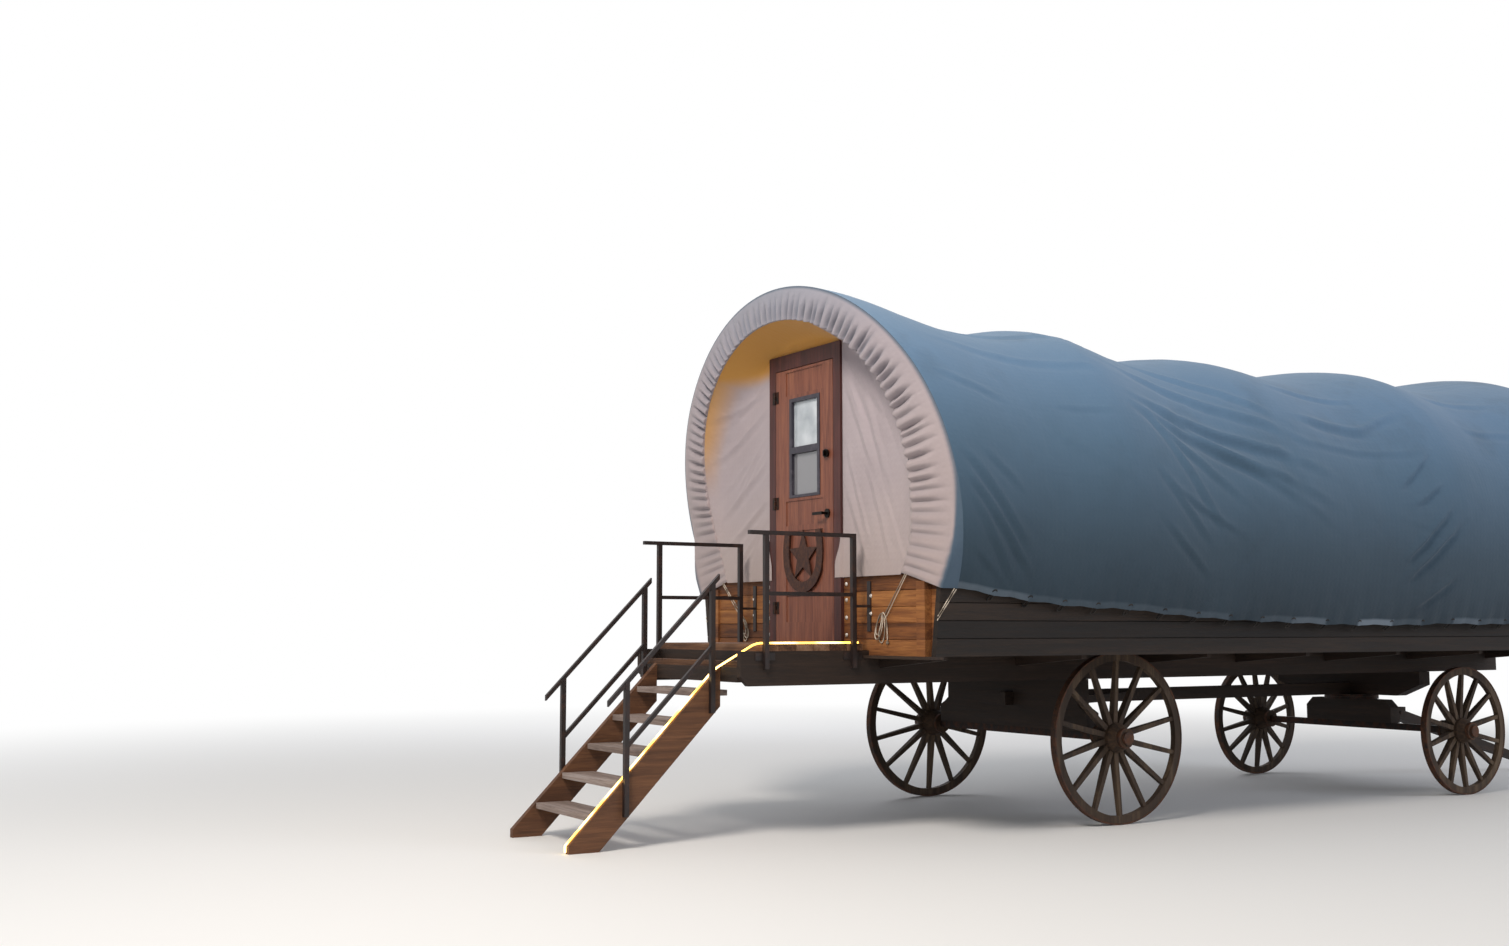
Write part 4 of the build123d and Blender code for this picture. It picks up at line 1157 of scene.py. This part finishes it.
@dataclass
class Rigging:
    """Lines that hold the canvas: ties along both hems, corner stays and the lashings hung on the gates."""

    cover: bpy.types.Object
    rows: int
    columns: int
    ties: int = 20
    tie_radius: float = 0.0045
    tie_reach: float = 0.105
    tie_in: float = 0.070
    tie_down: float = 0.062
    loop_radius: float = 0.018
    line_radius: float = 0.004
    knot_radius: float = 0.0062

    def loop(self) -> bpy.types.Object:
        """Models a long loop of line round the Z axis, once for all the ties of a hem.

        Returns:
            The loop.
        """
        deselect()
        bpy.ops.mesh.primitive_torus_add(major_segments=20, minor_segments=6, major_radius=self.loop_radius,
                                         minor_radius=self.tie_radius, rotation=(math.pi / 2, 0, 0))
        obj = bpy.context.active_object
        bpy.ops.object.transform_apply(location=False, rotation=True, scale=False)
        for vertex in obj.data.vertices:
            vertex.co.z += math.copysign(self.tie_reach / 2 - self.loop_radius, vertex.co.z)
        return obj

    def hem_ties(self, side: Side) -> bpy.types.Object:
        """Puts a tie at each low point of one hem, from the eyelet to the side boards.

        Args:
            side: side of the wagon.

        Returns:
            The joined ties.
        """
        vertices = self.cover.data.vertices
        step = (self.columns - 1) // self.ties
        row = 2 if side is Side.LEFT else self.rows - 3
        places = []
        for number in range(1, self.ties):
            eyelet = vertices[number * step * self.rows + row].co
            anchor = Vector((eyelet.x, side.value * (abs(eyelet.y) - self.tie_in), eyelet.z - self.tie_down))
            places.append(facing(eyelet - anchor, (eyelet + anchor) / 2))
        return copies(self.loop(), f"hem_ties_{word(side)}", places, TARRED_LINE)

    def knot(self, name: str, place: Vector) -> bpy.types.Object:
        """A stopper knot of two turns.

        Args:
            name: name of the piece.
            place: its middle.

        Returns:
            The knot.
        """
        deselect()
        bpy.ops.mesh.primitive_torus_add(major_segments=18, minor_segments=8, major_radius=self.knot_radius,
                                         minor_radius=self.line_radius * 1.15)
        turns = [Matrix.Translation(place + Vector((0, 0, drop))) @ Matrix.Rotation(angle, 4, "X")
                 for drop, angle in ((0.004, 0.35), (-0.004, -0.45))]
        return copies(bpy.context.active_object, name, turns, COTTON_LINE)

    def line(self, name: str, points: Sequence[Vector], radius: float) -> bpy.types.Object:
        """Lays a cotton line on a NURBS curve.

        Args:
            name: name of the piece.
            points: control points of the curve.
            radius: half the line's thickness.

        Returns:
            The line as a curve.
        """
        curve = bpy.data.curves.new(name, "CURVE")
        curve.dimensions = "3D"
        curve.bevel_depth = radius
        curve.bevel_resolution = 2
        curve.resolution_u = 6
        curve.use_fill_caps = True
        spline = curve.splines.new("NURBS")
        spline.points.add(len(points) - 1)
        for point, place in zip(spline.points, points):
            point.co = (*place, 1.0)
        spline.order_u = 3
        spline.use_endpoint_u = True
        obj = bpy.data.objects.new(name, curve)
        bpy.context.scene.collection.objects.link(obj)
        paint(obj, COTTON_LINE)
        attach(obj, BODY)
        return obj

    def length_of(self, cord: bpy.types.Object) -> float:
        """Length of a cord, read from its own spline without its thickness.

        Args:
            cord: the cord.

        Returns:
            Its length.
        """
        twin = cord.copy()
        twin.data = cord.data.copy()
        twin.data.bevel_depth = 0.0
        twin.data.use_fill_caps = False
        walked = bpy.data.meshes.new_from_object(twin)
        spots = [vertex.co for vertex in walked.vertices]
        length = sum((b - a).length for a, b in zip(spots, spots[1:]))
        bpy.data.meshes.remove(walked)
        return length

    def route(self, end: End, side: Side, rows: Sequence[Sequence[float]]) -> list[Vector]:
        """A table's places at one corner of the wagon, in the row frame."""
        corner = Corner(end)
        return [Vector((corner.face(x), side.value * y, z)) for x, y, z in rows]

    def lashing(self, end: End, side: Side) -> list[bpy.types.Object]:
        """Hangs a lashing in a small hank on the gate, below the corner of the wall's canvas.

        Args:
            end: end of the wagon.
            side: side of the wagon.

        Returns:
            The line and its knot.
        """
        points = self.route(end, side, LASHING_ROUTE)
        cord = self.line(f"lashing_{word(end)}_{word(side)}", points, self.line_radius)
        stop = self.knot(f"lashing_knot_{word(end)}_{word(side)}", points[-1])
        self.length_of(cord)
        return [cord, stop]

    def stays(self, end: End, side: Side) -> list[bpy.types.Object]:
        """Stretches the lashing's second line and the short stays from the cover's corner to the side boards.

        Args:
            end: end of the wagon.
            side: side of the wagon.

        Returns:
            The lines.
        """
        return [self.line(f"stay_{word(end)}_{word(side)}_{number}", self.route(end, side, rows),
                          self.line_radius * 0.8) for number, rows in enumerate(STAY_ROWS)]

    def build(self) -> list[bpy.types.Object]:
        """Builds all the lines.

        Returns:
            The lines and their knots.
        """
        pieces = [self.hem_ties(side) for side in Side]
        for lay in (self.lashing, self.stays):
            for end in End:
                for side in Side:
                    pieces += lay(end, side)
        return pieces


# Studio

@dataclass(frozen=True)
class Lamp:
    """A round soft lamp."""

    name: str
    place: tuple[float, float, float]
    target: tuple[float, float, float]
    size: float
    power: float
    colour: str

    def build(self) -> None:
        """Hangs the lamp and turns it to its target."""
        data = bpy.data.lights.new(self.name, "AREA")
        data.shape = "DISK"
        data.size = self.size
        data.energy = self.power
        data.color = linear(self.colour)[:3]
        lamp = bpy.data.objects.new(self.name, data)
        lamp.location = self.place
        lamp.rotation_euler = (Vector(self.target) - lamp.location).to_track_quat("-Z", "Y").to_euler()
        bpy.context.scene.collection.objects.link(lamp)


@dataclass
class Studio:
    """Camera, lamps, floor and backdrop; the camera's numbers come from points measured in the photograph."""

    eye: tuple[float, float, float] = (-6.063 + SHIFT_X, -9.454, 1.387)
    yaw: float = 30.857
    pitch: float = 5.682
    lens: float = 37.21
    lamps: tuple[Lamp, ...] = (
        Lamp("key", (-11.0, -5.0, 10.0), (0.0, 0.0, 1.8), 4.0, 1150.0, "FFF6EC"),
        Lamp("fill", (9.0, -12.0, 7.0), (1.0, 0.0, 1.5), 7.0, 620.0, "EAF0FF"),
        Lamp("back", (2.0, 12.0, 8.0), (0.0, 0.0, 1.5), 9.0, 420.0, "F4F6FF"),
    )
    sky: str = "F2F5F8"
    sky_strength: float = 0.42
    floor_size: float = 240.0

    def camera(self) -> None:
        """Sets the camera at the photograph's place."""
        data = bpy.data.cameras.new("camera")
        data.lens = self.lens
        data.sensor_width = 36.0
        data.clip_end = 500.0
        camera = bpy.data.objects.new("camera", data)
        camera.location = self.eye
        camera.rotation_euler = (math.radians(90 + self.pitch), 0.0, math.radians(-self.yaw))
        bpy.context.scene.collection.objects.link(camera)
        bpy.context.scene.camera = camera

    def backdrop(self) -> None:
        """Sets a white background for the camera, mirrors and glass, and a plain light for the rest."""
        world = bpy.data.worlds.new("studio")
        bpy.context.scene.world = world
        world.use_nodes = True
        tree = world.node_tree
        tree.nodes.clear()
        path = add(tree, "LightPath").outputs
        seen = add(tree, "Math", {0: path["Is Camera Ray"], 1: path["Is Glossy Ray"]}, operation="MAXIMUM")
        through = add(tree, "Math", {0: seen, 1: path["Is Transmission Ray"]}, operation="MAXIMUM")
        dim = add(tree, "Background", {"Color": linear(self.sky), "Strength": self.sky_strength})
        white = add(tree, "Background", {"Color": linear("FFFFFF"), "Strength": 1.0})
        add(tree, "OutputWorld", {"Surface": add(tree, "MixShader", {0: through, 1: dim, 2: white})})

    def floor(self) -> None:
        """Lays the floor under the wheels."""
        deselect()
        bpy.ops.mesh.primitive_plane_add(size=self.floor_size, location=(0, 0, 0))
        floor = bpy.context.active_object
        floor.name = "studio_floor"
        paint(floor, PaleFloor())

    def build(self) -> None:
        """Builds the whole studio."""
        self.camera()
        for lamp in self.lamps:
            lamp.build()
        self.backdrop()
        self.floor()
        bpy.context.scene.view_settings.view_transform = "Standard"


# Hoops of the cover. Columns: foot x, lean in degrees, crown, half width, spring, hem, hem half width, in mm
HOOP_ROWS = (
    (150, 11, 3815, 1767, 2300, 1640, 1573),
    (1605, 0, 3662, 1760, 2250, 1508, 1605),
    (3224, 0, 3583, 1755, 2190, 1420, 1610),
    (5085, 0, 3643, 1758, 2240, 1418, 1605),
    (6800, -11, 3745, 1767, 2300, 1500, 1573),
)
# Lowest arches between them, in the same columns
SAG_ROWS = (
    (877, 0, 3580, 1728, 2200, 1545, 1590),
    (2414, 0, 3505, 1722, 2140, 1450, 1600),
    (4155, 0, 3504, 1722, 2140, 1403, 1600),
    (5943, 0, 3548, 1728, 2180, 1424, 1590),
)
# Long folds of the cover's sides. Columns: bays walked and share of the girth at one end, the same at the other
# end, half width and height in mm
FOLD_ROWS = (
    (1.45, 0.335, 1.95, 0.255, 30, 12), (1.30, 0.290, 2.00, 0.225, 34, 16), (1.25, 0.238, 2.03, 0.188, 36, 20),
    (1.22, 0.222, 2.01, 0.156, 36, 18), (1.36, 0.222, 2.02, 0.137, 32, 14), (1.17, 0.217, 1.58, 0.148, 26, 12),
    (1.20, 0.210, 1.46, 0.118, 26, 12), (1.24, 0.137, 1.56, 0.105, 24, 9), (1.16, 0.150, 1.40, 0.093, 25, 10),
    (1.18, 0.095, 1.40, 0.055, 24, 9), (2.22, 0.312, 2.60, 0.305, 26, 10), (2.20, 0.252, 2.55, 0.246, 34, 16),
    (2.52, 0.246, 2.80, 0.270, 30, 13), (2.15, 0.214, 2.75, 0.212, 24, 8), (2.66, 0.172, 2.83, 0.203, 25, 13),
    (2.72, 0.148, 2.86, 0.166, 24, 12), (2.66, 0.086, 2.88, 0.133, 27, 14), (2.69, 0.066, 2.96, 0.120, 27, 13),
    (2.70, 0.020, 2.94, 0.056, 25, 10), (0.07, 0.140, 0.31, 0.068, 25, 13), (0.07, 0.115, 0.35, 0.036, 25, 13),
    (0.07, 0.095, 0.30, 0.012, 24, 10), (0.17, 0.145, 0.30, 0.118, 22, 8), (0.08, 0.044, 0.28, 0.008, 22, 9),
    (0.10, 0.232, 0.30, 0.218, 24, 7), (0.45, 0.382, 1.10, 0.365, 34, 8), (0.30, 0.300, 0.95, 0.285, 34, 8),
    (0.62, 0.221, 0.88, 0.218, 20, 6), (3.30, 0.325, 3.65, 0.318, 27, 8), (3.35, 0.256, 3.62, 0.255, 27, 8),
)
# Long folds of an end wall. Columns: y and z at one end, the same at the other end in m, half width and height in mm
WALL_FOLD_ROWS = (
    (1.20, 2.72, 0.60, 3.00, 24, 9), (1.15, 2.30, 0.60, 2.60, 26, 11), (1.15, 2.02, 0.58, 2.32, 24, 9),
    (1.10, 3.02, 0.62, 3.16, 22, 7), (0.95, 2.50, 0.60, 2.78, 20, 6), (1.00, 1.85, 0.70, 2.10, 22, 7),
    (-0.52, 3.10, -0.82, 2.50, 24, 9), (-0.50, 2.73, -0.70, 2.17, 24, 10), (-0.52, 2.36, -0.78, 1.80, 22, 9),
    (-0.75, 2.95, -1.00, 2.35, 24, 8), (-0.78, 2.45, -1.00, 1.90, 24, 8), (-0.60, 3.20, -1.00, 2.80, 22, 6),
)
# Route of a lashing on a gate. Columns: depth behind the end's datum, distance from the middle and height in m
LASHING_ROUTE = (
    (0.016, 1.195, 1.738), (0.022, 1.120, 1.662), (0.030, 1.030, 1.572), (0.038, 0.950, 1.494), (0.039, 0.905, 1.440),
    (0.039, 0.872, 1.380), (0.039, 0.862, 1.312), (0.039, 0.898, 1.280), (0.039, 0.930, 1.330), (0.036, 0.942, 1.410),
    (0.032, 0.932, 1.476), (0.029, 0.900, 1.468), (0.029, 0.852, 1.412), (0.029, 0.826, 1.342), (0.029, 0.852, 1.302),
    (0.029, 0.902, 1.340), (0.026, 0.930, 1.420), (0.021, 0.940, 1.482), (0.019, 0.912, 1.488), (0.019, 0.880, 1.438),
    (0.019, 0.852, 1.366), (0.019, 0.872, 1.334), (0.019, 0.906, 1.372), (0.016, 0.932, 1.448), (0.012, 0.946, 1.498),
    (0.014, 0.968, 1.480), (0.024, 0.976, 1.430), (0.030, 0.974, 1.360), (0.034, 0.970, 1.290),
)
# Taut lines at each corner, in the same columns: the lashing's second line and the two lines of the corner stay
STAY_ROWS = (
    ((0.016, 1.212, 1.734), (0.036, 0.955, 1.462)),
    ((0.120, 1.582, 1.640), (0.038, 1.512, 1.462)),
    ((0.135, 1.582, 1.634), (0.038, 1.506, 1.436)),
)
# Foot and half width at the foot of a band's throat and of a wall's arch
THROAT_FOOT = (1.749, 1.142)
# Half width and top of the doorway in the canvas, and of the middle seam at the end without a door
DOORWAY, SEAM = (0.4745, 3.405), (0.0, 2.6)


def hoop(row: Sequence[float]) -> Hoop:
    """Reads one row of the hoop tables, in metres in the row frame."""
    x, lean, *sizes = row
    return Hoop(x / 1000 + SHIFT_X, math.radians(lean), *[size / 1000 for size in sizes])


def throat_of(outer: Hoop) -> Hoop:
    """The drawn-in inner edge of a gathered band, from the arch at its outer edge."""
    foot_x = outer.foot_x - math.copysign(0.066, outer.lean) / math.cos(outer.lean)
    return Hoop(foot_x, outer.lean, outer.crown - 0.240, outer.half_width - 0.434, outer.spring + 0.156,
                *THROAT_FOOT, datum=outer.hem)


def arch_of(corner: Corner, outer: Hoop) -> Hoop:
    """The line where an end's upright wall starts to curve forward, from its corners and the band's outer arch."""
    lean = math.radians(-1.8 * corner.end.value)
    return Hoop(corner.face(0.070), lean, outer.crown - 0.315, 1.21, 2.4, *THROAT_FOOT)


def dress(nodes: dict[str, bpy.types.Object]) -> None:
    """Gives each CAD node its finish.

    Args:
        nodes: the nodes' objects by name.
    """
    for node, obj in nodes.items():
        finish = next((finish for pattern, finish in NODE_FINISHES if fnmatch(node, pattern)), FORGED_IRON)
        paint(obj, finish)
        LOG.info("dressed %s in %s", node, finish.name)


def main() -> None:
    """Builds the studio, dresses the frame, adds the cloth, the bolts and the lines, and logs each piece."""
    logging.basicConfig(level=logging.INFO, format="%(name)s %(message)s")
    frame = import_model()
    Studio().build()
    dress(frame["nodes"])
    hoops = tuple(hoop(row) for row in HOOP_ROWS)
    cover = WagonCover(hoops, tuple(hoop(row) for row in SAG_ROWS))
    pieces = [cover.build()]
    for end, outer, opening in ((End.DOOR, hoops[0], DOORWAY), (End.DRAW, hoops[-1], SEAM)):
        corner, throat = Corner(end), throat_of(outer)
        pieces.append(GatheredBand(corner, outer, throat).build())
        pieces.append(EndWall(corner, throat, arch_of(corner, outer), *opening).build())
    pieces.append(Bolts().build())
    pieces += Rigging(pieces[0], cover.rows, cover.columns).build()
    for piece in pieces:
        LOG.info("built %s", piece.name)


if __name__ == "__main__":
    main()
